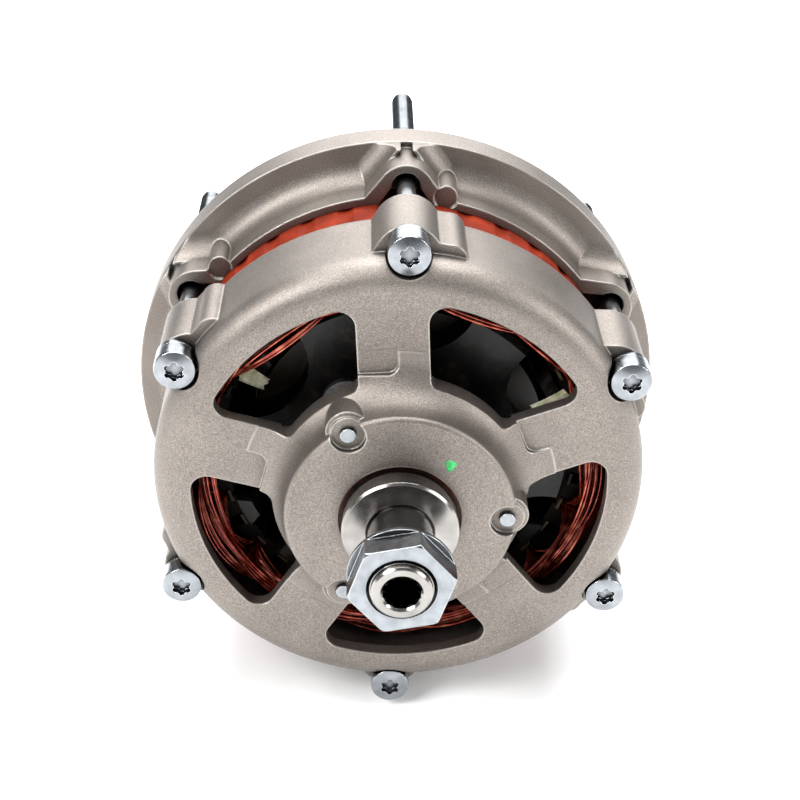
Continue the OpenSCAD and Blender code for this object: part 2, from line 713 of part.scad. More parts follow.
// Shaft: stepped from the rear bearing seat to the threaded drive end
module shaft() color("#cfcfd2") on_axis() difference() {
  union() {
    chamfered_rod(rear_seat_r, rear_brg_z0 + 0.5, sleeve_z0, 0.5);
    rod(slip_shaft_r, rear_brg_z1, pole_z0 - 4);
    rod(rear_shaft_r, sleeve_z1, pole_z0);
    rod(core_shaft_r, pole_z0 - 4, pole_z1);
    rod(shoulder_r, pole_z1, front_brg_z0);
    rod(shaft_d / 2, front_brg_z0, nut_z);
    rod(thread_d / 2, nut_z, nut_front_z);
    rod(thread_d / 2 - 0.9, nut_front_z, nut_front_z + 0.6);
    chamfered_rod(thread_d / 2 - 0.3, nut_front_z + 0.4, tip_z, 0.6);
  }
  translate([0, 0, tip_z - socket_depth]) linear_extrude(socket_depth + 1) socket_2d();
  translate([0, 0, tip_z - 1]) cylinder(r1 = socket_d / 2 - 0.6, r2 = socket_d / 2 + 0.5, h = 1.1);
}

// Half width of the gap between two claws whose half width is w, at the rotor's outside
function claw_gap(w) = rotor_r * sin(180 / claw_n - asin(w / rotor_r));

// One claw pole, claws down local Z: a disc with a conical skirt, cut by round valleys and by
// gaps that widen towards the tips
module claw_pole() {
  reach = coil_len + pole_t - claw_tip_gap;
  difference() {
    rotate_extrude() polygon([[core_shaft_r + seat_c, 0], [claw_root_in, 0], [claw_tip_in, -reach],
      [rotor_r, -reach], [rotor_r, pole_t - 1.4], [rotor_r - 1.4, pole_t],
      [core_shaft_r + seat_c, pole_t]]);
    around(claw_n, valley_c, 180 / claw_n) rod(valley_r, -reach - 1, pole_t + 1);
    around(claw_n, claw_root_in - 4, 180 / claw_n) rotate([90, 0, 90]) linear_extrude(rotor_r)
      polygon([[-claw_gap(claw_root_w), 0.5], [claw_gap(claw_root_w), 0.5],
        [claw_gap(claw_tip_w + 1), -reach + 1.5], [claw_gap(claw_tip_w - 0.8), -reach - 1.2],
        [-claw_gap(claw_tip_w - 0.8), -reach - 1.2], [-claw_gap(claw_tip_w + 1), -reach + 1.5]]);
  }
}

module front_claw_pole() color("#26221f") on_axis()
  translate([0, 0, pole_z1 - pole_t]) rotate([0, 0, claw_a0]) claw_pole();

module rear_claw_pole() color("#26221f") on_axis()
  translate([0, 0, pole_z0 + pole_t]) mirror([0, 0, 1]) rotate([0, 0, claw_a0 + 180 / claw_n]) claw_pole();

// Iron core between the two claw poles
module pole_core() color("#4a4743") on_axis()
  tube(pole_core_r, core_shaft_r + seat_c, pole_z0 + pole_t, pole_z1 - pole_t);

module coil_bobbin() color("#e6dfc4") on_axis() {
  tube(pole_core_r + 1.4, pole_core_r + seat_c, coil_z0, coil_z1);
  tube(coil_r + 0.3, pole_core_r + 1, coil_z0, coil_z0 + bobbin_t);
  tube(coil_r + 0.3, pole_core_r + 1, coil_z1 - bobbin_t, coil_z1);
}

module field_coil() color("#cfc7a2") on_axis() rotate_extrude()
  translate([pole_core_r + 1.4 + seat_c, coil_z0 + bobbin_t + seat_c])
    square([coil_r - pole_core_r - 1.4 - seat_c, coil_z1 - coil_z0 - 2 * (bobbin_t + seat_c)]);

module slip_ring_sleeve() color("#1d1d1f") on_axis() {
  tube(sleeve_r, slip_shaft_r + seat_c, sleeve_z0, sleeve_z1);
  tube(slip_r - 0.8, sleeve_r - 0.1, slip_z2 + slip_w / 2 + 0.02, slip_z1 - slip_w / 2 - 0.02);
}

module slip_ring(z) tube(slip_r, sleeve_r, z - slip_w / 2, z + slip_w / 2);
module front_slip_ring() color("#b87a3c") on_axis() slip_ring(slip_z1);
module rear_slip_ring() color("#b87a3c") on_axis() slip_ring(slip_z2);

// Spacer collar between the front bearing and the hub that is clamped on the drive seat
module spacer_collar() color("#c2c2c4") on_axis() difference() {
  union() {
    rod(spacer_d / 2, front_brg_z1 + 1.2, spacer_z - 0.6);
    rod(front_inner_r - 0.2, front_brg_z1, front_brg_z1 + 1.3);
    translate([0, 0, spacer_z - 0.6]) cylinder(r1 = spacer_d / 2, r2 = spacer_d / 2 - 0.6, h = 0.6);
  }
  rod(shaft_d / 2 + seat_c, front_brg_z1 - 1, spacer_z + 1);
  translate([0, 0, spacer_z - 0.5]) cylinder(r1 = shaft_d / 2, r2 = shaft_d / 2 + 0.6, h = 0.6);
}

// Hexagon nut with a round washer face and a chamfered front
module shaft_nut() color("#c9ccd0") on_axis() difference() {
  union() {
    rod(nut_corner_r, nut_z, nut_z + washer_face_h - 0.4);
    intersection() {
      translate([0, 0, nut_z]) rotate([0, 0, nut_a]) cylinder(r = nut_corner_r, h = nut_h, $fn = 6);
      rotate_extrude() polygon([[0, nut_z], [nut_corner_r + 1, nut_z],
        [nut_corner_r + 1, nut_front_z - (nut_corner_r + 1 - nut_face_r) * tan(30)],
        [nut_face_r, nut_front_z], [0, nut_front_z]]);
    }
  }
  rod(thread_d / 2 + seat_c, nut_z - 1, nut_front_z + 1);
  translate([0, 0, nut_front_z - 0.8]) cylinder(r1 = thread_d / 2, r2 = thread_d / 2 + 0.9, h = 0.9);
}

// Horseshoe plate between two radii, over the rectifier's span of angles
module horseshoe_2d(r_in, r_out) difference() {
  circle(r_out);
  circle(r_in);
  gap = (360 - (rectifier_to - rectifier_from)) / 2;
  rotate(270) polygon([[0, 0], [200 * cos(gap), 200 * sin(gap)], [200, 0],
    [200 * cos(gap), -200 * sin(gap)]]);
}

module heat_sink(z0, t, hole_r) difference() {
  translate([0, 0, z0]) linear_extrude(t) horseshoe_2d(plate_in_r, plate_out_r);
  at_angles(diode_angles, diode_pcr) rod(diode_r + seat_c, z0 - 1, z0 + t + 1);
  at_angles(pillar_angles, pillar_r) rod(hole_r, z0 - 1, z0 + t + 1);
  at_angles([battery_a], battery_r)
    rod((z0 > neg_z1 ? shank_r : battery_d / 2 + 2.6) + seat_c, z0 - 1, z0 + t + 1);
}

module negative_heat_sink() color("#9fa3a6") on_axis()
  heat_sink(wall_z, neg_t, 2.3);

module positive_heat_sink() color("#9fa3a6") on_axis()
  heat_sink(pos_z0, pos_t, 3.3);

// Press-fit diode with its lead
module diode(z0, t) {
  rod(diode_r, z0, z0 + t + 1);
  rod(diode_r - 1.2, z0 + t + 0.9, z0 + t + 2.4);
  rod(0.8, z0 + t + 2, z0 + t + 5);
}
module negative_diodes() color("#8d8f92") on_axis()
  at_angles(diode_angles, diode_pcr) diode(wall_z, neg_t);
module positive_diodes() color("#8d8f92") on_axis()
  at_angles(diode_angles, diode_pcr) diode(pos_z0, pos_t);

// Insulating pillars that carry the positive plate above the negative one
module rectifier_pillars() color("#2b2b2e") on_axis() at_angles(pillar_angles, pillar_r) difference() {
  union() {
    rod(4.2, neg_z1, pos_z0);
    rod(3.3 - seat_c, pos_z0 - 0.1, pos_z1);
    rod(4.2, pos_z1, pos_z1 + 1.2);
  }
  rod(2 + seat_c, neg_z1 - 1, pos_z1 + 2);
}

module rectifier_screws() color("#c9ccd0") on_axis() at_angles(pillar_angles, pillar_r) {
  rod(2, -bell_h, pos_z1 + 1.2);
  difference() {
    rod(3.8, pos_z1 + 1.2, pos_z1 + 3.8);
    translate([0, 0, pos_z1 + 3.8]) lobe_recess(1.8, 1.2);
  }
}

// Battery terminal: bolt through the positive plate and out of the rear wall
module battery_terminal() color("#c9ccd0") on_axis() at_angles([battery_a], battery_r) {
  rod(battery_d / 2, -bell_h - battery_out, stud_free_z + 1);
  rod(shank_r, stud_free_z, pos_z1);
  translate([0, 0, pos_z1]) cylinder(r = battery_d * 0.85, h = 4, $fn = 6);
}
module terminal_insulator() color("#2b2b2e") on_axis() at_angles([battery_a], battery_r) difference() {
  union() {
    rod(battery_d / 2 + 2, -bell_h - 0.1, wall_z + neg_t);
    rod(battery_d / 2 + 5, -bell_h - 2.5, -bell_h);
    rod(battery_d / 2 + 2.6 - seat_c, wall_z, neg_z1);
    rod(battery_d / 2 + 4, neg_z1, pos_z0);
  }
  rod(shank_r + seat_c, -bell_h - 4, pos_z0 + 1);
}
module terminal_nut() color("#c9ccd0") on_axis() at_angles([battery_a], battery_r) difference() {
  translate([0, 0, -bell_h - 2.5 - terminal_nut_h])
    cylinder(r = battery_d * 0.94, h = terminal_nut_h, $fn = 6);
  rod(shank_r + seat_c, -bell_h - 20, -bell_h);
}

// Regulator on the rear wall, with the brush holder reaching in to the slip rings
module regulator() color("#232326") on_axis() rotate([0, 0, brush_a]) difference() {
  union() {
    translate([neck_x0, -regulator_w / 2, -bell_h - regulator_t])
      cube([regulator_h, regulator_w, regulator_t]);
    translate([neck_x0, -holder_w / 2, -bell_h - 1]) cube([holder_x1 - neck_x0, holder_w, wall_t + 4]);
    translate([holder_x0, -holder_w / 2, slip_z2 - brush_t / 2 - holder_wall])
      cube([holder_x1 - holder_x0, holder_w, slip_pitch + brush_t + 2 * holder_wall]);
  }
  for (z = [slip_z1, slip_z2]) translate([holder_x0 - 1, -brush_w / 2 - run_c, z - brush_t / 2 - run_c])
    cube([-spring_floor - holder_x0 + 1, brush_w + 2 * run_c, brush_t + 2 * run_c]);
  rotate([0, 0, -brush_a]) at_angles(regulator_screw_angles, regulator_screw_r)
    rod(2.2, -bell_h - regulator_t - 1, -bell_h + 1);
}
module regulator_screws() color("#c9ccd0") on_axis()
  at_angles(regulator_screw_angles, regulator_screw_r) {
    rod(2, -bell_h - regulator_t, wall_z);
    difference() {
      rod(3.6, -bell_h - regulator_t - 2.6, -bell_h - regulator_t);
      mirror([0, 0, 1]) translate([0, 0, bell_h + regulator_t + 2.6]) lobe_recess(1.8, 1.2);
    }
  }

// Carbon brush with a face curved to its slip ring
module brush(z) difference() {
  translate([-brush_w / 2, brush_bottom, z - brush_t / 2]) cube([brush_w, brush_len + 3, brush_t]);
  rod(slip_r + brush_gap, z - brush_t, z + brush_t);
}
module front_brush() color("#3a3a3c") on_axis() brush(slip_z1);
module rear_brush() color("#3a3a3c") on_axis() brush(slip_z2);

// Coil spring: a wire swept along a helix that climbs along local Y
function spring_point(k, j) = let (
    a = 360 * k / spring_steps,
    total = spring_turns * spring_steps,
    y = spring_floor + 0.35 + (spring_len - 0.7) * k / total,
    b = 360 * j / spring_sides,
    r = spring_r + spring_wire_r * cos(b))
  [r * cos(a), y + spring_wire_r * sin(b), r * sin(a)];
module coil_spring() {
  total = spring_turns * spring_steps;
  m = spring_sides;
  points = [for (k = [0 : total]) for (j = [0 : m - 1]) spring_point(k, j)];
  sides = [for (k = [0 : total - 1]) for (j = [0 : m - 1])
    [k * m + j, k * m + (j + 1) % m, (k + 1) * m + (j + 1) % m, (k + 1) * m + j]];
  ends = [[for (j = [m - 1 : -1 : 0]) j], [for (j = [0 : m - 1]) total * m + j]];
  polyhedron(points, concat(sides, ends));
}
module front_brush_spring() color("#b9bdc2") on_axis() translate([0, 0, slip_z1]) coil_spring();
module rear_brush_spring() color("#b9bdc2") on_axis() translate([0, 0, slip_z2]) coil_spring();

// Radio suppressor can on a tab, screwed to the rear wall
module suppressor() color("#b5b8bb") on_axis() rotate([0, 0, suppressor_a])
  translate([suppressor_r, 0, 0]) difference() {
    union() {
      translate([-tab_w / 2, -tab_w / 2, -bell_h - tab_t]) cube([tab_w, tab_w, tab_t]);
      translate([-tab_w / 2, 1 - tab_w / 2 - can_l, -bell_h - can_h]) cube([tab_w, can_l, can_h]);
    }
    rod(2.2, -bell_h - 2 * tab_t, -bell_h + 1);
  }
module suppressor_screw() color("#c9ccd0") on_axis() at_angles([suppressor_a], suppressor_r) {
  rod(2, -bell_h - tab_t, wall_z);
  rod(3.6, -bell_h - tab_t - 2.5, -bell_h - tab_t);
}

front_housing();
rear_housing();
stator_core();
phase_winding_u();
phase_winding_v();
phase_winding_w();
slot_wedges();
phase_leads();
through_bolts();
bolt_washers();
front_bearing_outer_ring();
front_bearing_cage();
front_bearing_balls();
front_bearing_inner_ring();
front_bearing_seals();
hub_seal();
bearing_retainer();
retainer_screws();
rear_bearing_outer_ring();
rear_bearing_cage();
rear_bearing_balls();
rear_bearing_inner_ring();
shaft();
front_claw_pole();
rear_claw_pole();
pole_core();
coil_bobbin();
field_coil();
slip_ring_sleeve();
front_slip_ring();
rear_slip_ring();
spacer_collar();
shaft_nut();
negative_heat_sink();
positive_heat_sink();
negative_diodes();
positive_diodes();
rectifier_pillars();
rectifier_screws();
battery_terminal();
terminal_insulator();
terminal_nut();
regulator();
regulator_screws();
front_brush();
rear_brush();
front_brush_spring();
rear_brush_spring();
suppressor();
suppressor_screw();
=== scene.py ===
import math

import bpy
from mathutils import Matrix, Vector


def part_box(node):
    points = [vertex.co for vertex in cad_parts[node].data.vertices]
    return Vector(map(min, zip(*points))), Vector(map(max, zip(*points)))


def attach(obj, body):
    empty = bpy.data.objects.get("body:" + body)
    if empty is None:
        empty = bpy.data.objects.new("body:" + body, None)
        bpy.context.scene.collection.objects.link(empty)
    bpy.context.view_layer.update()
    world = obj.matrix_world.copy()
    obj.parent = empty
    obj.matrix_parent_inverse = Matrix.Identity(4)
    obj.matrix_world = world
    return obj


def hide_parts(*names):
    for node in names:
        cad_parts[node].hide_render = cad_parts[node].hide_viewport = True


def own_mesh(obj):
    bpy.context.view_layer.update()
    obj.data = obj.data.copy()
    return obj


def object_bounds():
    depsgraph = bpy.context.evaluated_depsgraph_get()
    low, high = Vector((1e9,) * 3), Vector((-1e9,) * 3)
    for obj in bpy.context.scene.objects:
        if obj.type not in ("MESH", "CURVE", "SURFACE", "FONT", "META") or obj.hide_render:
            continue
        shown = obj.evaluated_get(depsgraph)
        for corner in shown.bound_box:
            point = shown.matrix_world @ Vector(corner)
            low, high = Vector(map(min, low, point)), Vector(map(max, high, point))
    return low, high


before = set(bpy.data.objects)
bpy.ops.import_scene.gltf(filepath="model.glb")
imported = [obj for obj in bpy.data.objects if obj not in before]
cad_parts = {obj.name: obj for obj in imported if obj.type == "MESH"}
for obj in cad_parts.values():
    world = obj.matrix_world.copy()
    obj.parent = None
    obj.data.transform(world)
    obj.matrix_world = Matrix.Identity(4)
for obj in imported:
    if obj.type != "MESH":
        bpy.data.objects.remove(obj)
cad_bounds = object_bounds()
MM = 0.001

# Studio. A plain pale floor under soft studio light. The camera stands in front of the shaft end
# and looks down on it by thirty degrees, as the photograph was taken.


def linear(hex_colour):
    """Linear RGBA of an sRGB hex colour such as "a9a19a"."""
    parts = [int(hex_colour[i:i + 2], 16) / 255 for i in (0, 2, 4)]
    return [c / 12.92 if c <= 0.04045 else ((c + 0.055) / 1.055) ** 2.4 for c in parts] + [1.0]


def put(tree, kind, inputs=(), stops=(), **settings):
    """Adds a node with its settings and a colour ramp's stops. inputs feeds its sockets, in order or
    by name, with a value, a hex colour, a node's output, or a node whose first output is meant."""
    node = tree.nodes.new(kind)
    for key, value in settings.items():
        setattr(node, key, value)
    for key, value in (inputs if isinstance(inputs, dict) else dict(enumerate(inputs))).items():
        named = [socket for socket in node.inputs if socket.enabled and socket.name == key]
        socket = named[0] if named else node.inputs[key]
        if isinstance(value, bpy.types.Node):
            value = next(output for output in value.outputs if output.enabled)
        if isinstance(value, bpy.types.NodeSocket):
            tree.links.new(value, socket)
        elif socket.type == "RGBA":
            socket.default_value = linear(value)
        else:
            socket.default_value = value
    for number, (position, colour) in enumerate(stops):
        elements = node.color_ramp.elements
        element = elements[number] if number < len(elements) else elements.new(position)
        element.position = position
        element.color = linear(colour)
    return node


def blank(name):
    """A new material, its empty node tree, and the Object coordinates that its patterns are laid on."""
    material = bpy.data.materials.new(name)
    material.use_nodes = True
    material.node_tree.nodes.clear()
    return material, material.node_tree, put(material.node_tree, "ShaderNodeTexCoord").outputs["Object"]


def finish(material, *nodes, **inputs):
    """Ends a material in one shader with these inputs, and gives it to these nodes of the CAD model."""
    named = {key.replace("_", " "): value for key, value in inputs.items()}
    shader = put(material.node_tree, "ShaderNodeBsdfPrincipled", named)
    put(material.node_tree, "ShaderNodeOutputMaterial", {"Surface": shader})
    for name in nodes:
        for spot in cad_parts[name].material_slots:
            spot.material = material


PHOTO_WIDTH = 800
FOCAL_PIXELS = 1602.84
CAMERA_PLACE = (-14.706, -431.143, 235.460)
CAMERA_ANGLES = (60.14087, -2.25219, -0.90345)
camera_data = bpy.data.cameras.new("camera")
camera_data.sensor_width = 36.0
camera_data.lens = camera_data.sensor_width * FOCAL_PIXELS / PHOTO_WIDTH
camera_data.clip_start = 0.01
camera = bpy.data.objects.new("camera", camera_data)
camera.location = [part * MM for part in CAMERA_PLACE]
camera.rotation_euler = [math.radians(angle) for angle in CAMERA_ANGLES]
bpy.context.scene.collection.objects.link(camera)
bpy.context.scene.camera = camera
bpy.context.scene.view_settings.view_transform = "Standard"

# Matt white background paper, which gives a soft shadow and no reflection.
FLOOR_HALF = 3.0
FLOOR_DROP = 0.2 * MM
floor_z = cad_bounds[0][2] - FLOOR_DROP
corners = [(x * FLOOR_HALF, y * FLOOR_HALF, floor_z) for x, y in ((-1, -1), (1, -1), (1, 1), (-1, 1))]
floor_mesh = bpy.data.meshes.new("floor")
floor_mesh.from_pydata(corners, [], [(0, 1, 2, 3)])
floor = bpy.data.objects.new("floor", floor_mesh)
bpy.context.scene.collection.objects.link(floor)
paper = blank("white_studio_paper")[0]
finish(paper, Base_Color="ffffff", Roughness=0.9)
floor_mesh.materials.append(paper)

world = bpy.data.worlds.new("soft_white_room")
world.use_nodes = True
world.node_tree.nodes["Background"].inputs["Color"].default_value = linear("eef1f4")
world.node_tree.nodes["Background"].inputs["Strength"].default_value = 0.36
bpy.context.scene.world = world


def softbox(name, place, size, power):
    """A square area light at place, turned towards the alternator."""
    data = bpy.data.lights.new(name, "AREA")
    data.size = size
    data.energy = power
    lamp = bpy.data.objects.new(name, data)
    lamp.location = place
    lamp.rotation_euler = (-Vector(place)).to_track_quat("-Z", "Y").to_euler()
    bpy.context.scene.collection.objects.link(lamp)


softbox("key_left", (-0.95, -0.75, 0.95), 0.70, 24.0)
softbox("fill_right", (1.05, -0.45, 0.55), 0.60, 9.0)
softbox("top", (0.0, 0.30, 1.30), 1.30, 42.0)
softbox("back_wall", (0.0, 1.50, 0.90), 1.50, 22.0)

# Castings. Front and rear housings, each cast in one piece of aluminium and tumbled, with no paint.
# The two clamp the stator core between them and are drawn together by the six through bolts.


def edge_bevel_highlight(tree, radius_mm):
    """Normals rounded over the edges, and a mask that is 1 along an edge and 0 on the flats. The mask
    marks where a highlight is painted.
    """
    rounded = put(tree, "ShaderNodeBevel", {"Radius": radius_mm * MM}, samples=6)
    flat = put(tree, "ShaderNodeNewGeometry").outputs["Normal"]
    match = put(tree, "ShaderNodeVectorMath", (rounded, flat), operation="DOT_PRODUCT")
    return rounded, put(tree, "ShaderNodeMapRange", {"Value": match, "From Min": 0.999, "From Max": 0.93})


# Tumbled cast aluminium: a warm grey skin with a fine even grain, painted shade that darkens the
# corners and recesses, and a painted highlight in a thin bright rim along the edges.
cast, tree, place = blank("tumbled_cast_aluminium")
grain = put(tree, "ShaderNodeTexNoise", {"Vector": place, "Scale": 1 / (0.27 * MM), "Roughness": 0.6})
cloud = put(tree, "ShaderNodeTexNoise", {"Vector": place, "Scale": 1 / (16 * MM), "Detail": 3.0})
mottle = put(tree, "ShaderNodeMix", {"Factor": 0.2, "A": grain, "B": cloud})
skin = put(tree, "ShaderNodeValToRGB", {"Fac": mottle}, stops=(
    (0.3, "5d5753"), (0.5, "7c756f"), (0.7, "9d968f")))
# Painted shade: the skin goes dark where ambient occlusion finds a corner or recess.
open_air = put(tree, "ShaderNodeAmbientOcclusion", {"Distance": 4 * MM}, samples=6).outputs["AO"]
unshaded_cast = put(tree, "ShaderNodeMath", (open_air, 0.8), operation="POWER")
skin = put(tree, "ShaderNodeMix", {"Factor": unshaded_cast, "A": "1d1a18", "B": skin}, data_type="RGBA")
# Painted highlight: a light rim colour along the edges.
rounded, edge = edge_bevel_highlight(tree, 0.8)
painted_highlight = put(tree, "ShaderNodeMath", (edge, 0.5), operation="MULTIPLY")
skin = put(tree, "ShaderNodeMix", {"Factor": painted_highlight, "A": skin, "B": "c9c4bd"}, data_type="RGBA")
dull = put(tree, "ShaderNodeMapRange", {"Value": cloud, "To Min": 0.40, "To Max": 0.52})
dull = put(tree, "ShaderNodeMath", (edge, -0.14, dull), operation="MULTIPLY_ADD")
relief = put(tree, "ShaderNodeBump", {"Height": grain, "Distance": 0.07 * MM, "Normal": rounded})
finish(cast, "front_housing", "rear_housing", Base_Color=skin, Roughness=dull, Normal=relief, Metallic=0.9)

# Paint dot. A mark of green paint on the hub's face, put on by hand with a fine brush, so its
# outline is a little uneven and its edge is thinner than its middle.

DOT_X = 12.4 * MM
DOT_Z = 16.95 * MM
DOT_RADIUS = 1.35 * MM
DOT_THICK = 0.06 * MM
DOT_STEPS = 28
DOT_STRETCH = 1.25
DOT_TOP = 0.8
hub_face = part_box("front_housing")[0][1]
ring = []
for step in range(DOT_STEPS):
    angle = 2 * math.pi * step / DOT_STEPS
    reach = DOT_RADIUS * (1 + 0.14 * math.sin(3 * angle + 0.6) + 0.08 * math.sin(5 * angle))
    ring.append((reach * math.cos(angle), DOT_STRETCH * reach * math.sin(angle)))
verts = [(DOT_X + x, hub_face, DOT_Z + z) for x, z in ring]
verts += [(DOT_X + DOT_TOP * x, hub_face - DOT_THICK, DOT_Z + DOT_TOP * z) for x, z in ring]
verts += [(DOT_X, hub_face - 1.3 * DOT_THICK, DOT_Z), (DOT_X, hub_face, DOT_Z)]
top, bottom = 2 * DOT_STEPS, 2 * DOT_STEPS + 1
faces = []
for i in range(DOT_STEPS):
    j = (i + 1) % DOT_STEPS
    faces += [(i, j, DOT_STEPS + j, DOT_STEPS + i), (DOT_STEPS + i, DOT_STEPS + j, top), (j, i, bottom)]
dot_mesh = bpy.data.meshes.new("paint_dot")
dot_mesh.from_pydata(verts, [], faces)
dot_mesh.polygons.foreach_set("use_smooth", [True] * len(dot_mesh.polygons))
paint_dot = bpy.data.objects.new("paint_dot", dot_mesh)
bpy.context.scene.collection.objects.link(paint_dot)

# Green marking paint: half glossy and slightly patchy, because it covers in one thin coat.
green, tree, place = blank("green_marking_paint")
coat = put(tree, "ShaderNodeTexNoise", {"Vector": place, "Scale": 1 / (1.2 * MM)})
colour = put(tree, "ShaderNodeValToRGB", {"Fac": coat}, stops=((0.35, "1f8f45"), (0.65, "3fc46c")))
finish(green, Base_Color=colour, IOR=1.5, Roughness=0.35)
dot_mesh.materials.append(green)
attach(paint_dot, "stator_assembly")

# Stator core. A stack of punched steel sheets, pressed together, with slots for the windings on the
# inside. It is clamped between the housings, and its outside is dipped in insulating paint.

# A wave texture has one band to each unit of length at this scale.
ONE_BAND = math.pi / 10
SHEET = 0.65 * MM
PAINT_FROM = 59.5 * MM
PAINT_TO = 61.5 * MM

# Core paint: orange-red, dull and unevenly run on the outside, over fine lines from the sheets'
# edges. Inside 59.5 mm radius, towards the bore, the colour is nearly black.
core_paint, tree, place = blank("dipped_core_paint")
run = put(tree, "ShaderNodeTexNoise", {"Vector": place, "Scale": 1 / (7 * MM), "Detail": 4.0})
red = put(tree, "ShaderNodeValToRGB", {"Fac": run}, stops=((0.3, "521505"), (0.5, "6c1e0a"), (0.7, "80280f")))
across = put(tree, "ShaderNodeVectorMath", (place, (1, 0, 1)), operation="MULTIPLY")
reach = put(tree, "ShaderNodeVectorMath", (across,), operation="LENGTH")
outside = put(tree, "ShaderNodeMapRange", {"Value": reach, "From Min": PAINT_FROM, "From Max": PAINT_TO})
colour = put(tree, "ShaderNodeMix", {"Factor": outside, "A": "120a07", "B": red}, data_type="RGBA")
dull = put(tree, "ShaderNodeMapRange", {"Value": run, "To Min": 0.5, "To Max": 0.72})
sheets = put(tree, "ShaderNodeTexWave", {"Vector": place, "Scale": ONE_BAND / SHEET, "Distortion": 0.4,
                                         "Detail": 1.0}, bands_direction="Y").outputs["Fac"]
relief = put(tree, "ShaderNodeBump", {"Height": sheets, "Distance": 0.05 * MM})
finish(core_paint, "stator_core", Base_Color=colour, Roughness=dull, Normal=relief, IOR=1.5,
       Specular_IOR_Level=0.12)

# Windings. Enamelled copper wire, wound into the slots and dipped in dark red resin. At both ends of
# the core each bundle leaves its slot, bows out and dives into the next slot of its own phase.

# Resin-dipped wire: the copper shines red-brown through a glossy film, and the gaps between the
# wires are filled and darkened by painted shade.
enamel, tree, place = blank("resin_dipped_copper_wire")
patch = put(tree, "ShaderNodeTexNoise", {"Vector": place, "Scale": 1 / (3.5 * MM)})
film = put(tree, "ShaderNodeValToRGB", {"Fac": patch}, stops=(
    (0.3, "6a170c"), (0.5, "a5341f"), (0.72, "de7a5f")))
# Painted shade: the wire goes nearly black where ambient occlusion finds a gap between wires.
open_air = put(tree, "ShaderNodeAmbientOcclusion", {"Distance": 1.6 * MM}, samples=6).outputs["AO"]
unshaded_wire = put(tree, "ShaderNodeMath", (open_air, 1.5), operation="POWER")
colour = put(tree, "ShaderNodeMix", {"Factor": unshaded_wire, "A": "0a0302", "B": film}, data_type="RGBA")
finish(enamel, "phase_winding_u", "phase_winding_v", "phase_winding_w", Base_Color=colour, IOR=1.5,
       Metallic=0.55, Roughness=0.2, Coat_Weight=0.4, Coat_Roughness=0.1)


def new_tree(name, listing):
    """A Geometry Nodes tree with these inputs: the tree, its inputs' identifiers, and their sockets."""
    tree = bpy.data.node_groups.new(name, "GeometryNodeTree")
    tree.interface.new_socket("Geometry", in_out="OUTPUT", socket_type="NodeSocketGeometry")
    keys = {}
    for label, kind in listing:
        socket = tree.interface.new_socket(label, in_out="INPUT", socket_type="NodeSocket" + kind)
        keys[label] = socket.identifier
    return tree, keys, put(tree, "NodeGroupInput").outputs


def close_tree(tree, curve, profile, material):
    """Ends a tree in smooth tubes along its curves, realised and with their material."""
    tubes = put(tree, "GeometryNodeCurveToMesh", {
        "Curve": curve, "Profile Curve": profile, "Fill Caps": True})
    smooth = put(tree, "GeometryNodeSetShadeSmooth", {"Geometry": tubes})
    real = put(tree, "GeometryNodeRealizeInstances", {"Geometry": smooth})
    coated = put(tree, "GeometryNodeSetMaterial", {"Geometry": real, "Material": material})
    put(tree, "NodeGroupOutput", (coated,))


def grown(name, tree, keys, values):
    """Runs a tree with these inputs and returns its result as a plain mesh object."""
    carrier = bpy.data.objects.new(name + "_carrier", bpy.data.meshes.new(name + "_carrier"))
    bpy.context.scene.collection.objects.link(carrier)
    modifier = carrier.modifiers.new("grow", "NODES")
    modifier.node_group = tree
    for label, value in values.items():
        modifier[keys[label]] = value
    ready = carrier.evaluated_get(bpy.context.evaluated_depsgraph_get())
    mesh = bpy.data.meshes.new_from_object(ready)
    mesh.name = name
    piece = bpy.data.objects.new(name, mesh)
    bpy.context.scene.collection.objects.link(piece)
    bpy.data.objects.remove(carrier)
    return piece


# Each wire starts as a straight line from 0 to 1. The wires of one phase are numbered arch by arch,
# first at the front end of the core and then at the rear end.
STATIONS = 27
tree, wire_keys, given = new_tree("phase_wires", (
    ("Slots", "Int"), ("Wires", "Int"), ("Wire radius", "Float"), ("Slot floor", "Float"),
    ("Slot mouth", "Float"), ("Crown radius", "Float"), ("Crown spread", "Float"), ("Core middle", "Float"),
    ("Half core", "Float"), ("Rise", "Float"), ("Slot half width", "Float"), ("First angle", "Float"),
    ("Seed", "Int"), ("Material", "Material")))
wire_tree = tree
one_end = put(tree, "ShaderNodeMath", (given["Slots"], given["Wires"]), operation="MULTIPLY")
both_ends = put(tree, "ShaderNodeMath", (one_end, 2), operation="MULTIPLY")
points = put(tree, "GeometryNodePoints", {"Count": both_ends})
numbered = put(tree, "GeometryNodeStoreNamedAttribute", {
    "Geometry": points, "Name": "wire", "Value": put(tree, "GeometryNodeInputIndex")},
    data_type="FLOAT", domain="POINT")
straight = put(tree, "GeometryNodeCurvePrimitiveLine", {"Start": (0, 0, 0), "End": (1, 0, 0)})
stations = put(tree, "GeometryNodeResampleCurve", {"Curve": straight, "Count": STATIONS})
laid = put(tree, "GeometryNodeInstanceOnPoints", {"Points": numbered, "Instance": stations})
loose = put(tree, "GeometryNodeRealizeInstances", {"Geometry": laid})
wire = put(tree, "GeometryNodeInputNamedAttribute", {"Name": "wire"}, data_type="FLOAT")
along = put(tree, "ShaderNodeSeparateXYZ", (put(tree, "GeometryNodeInputPosition"),))

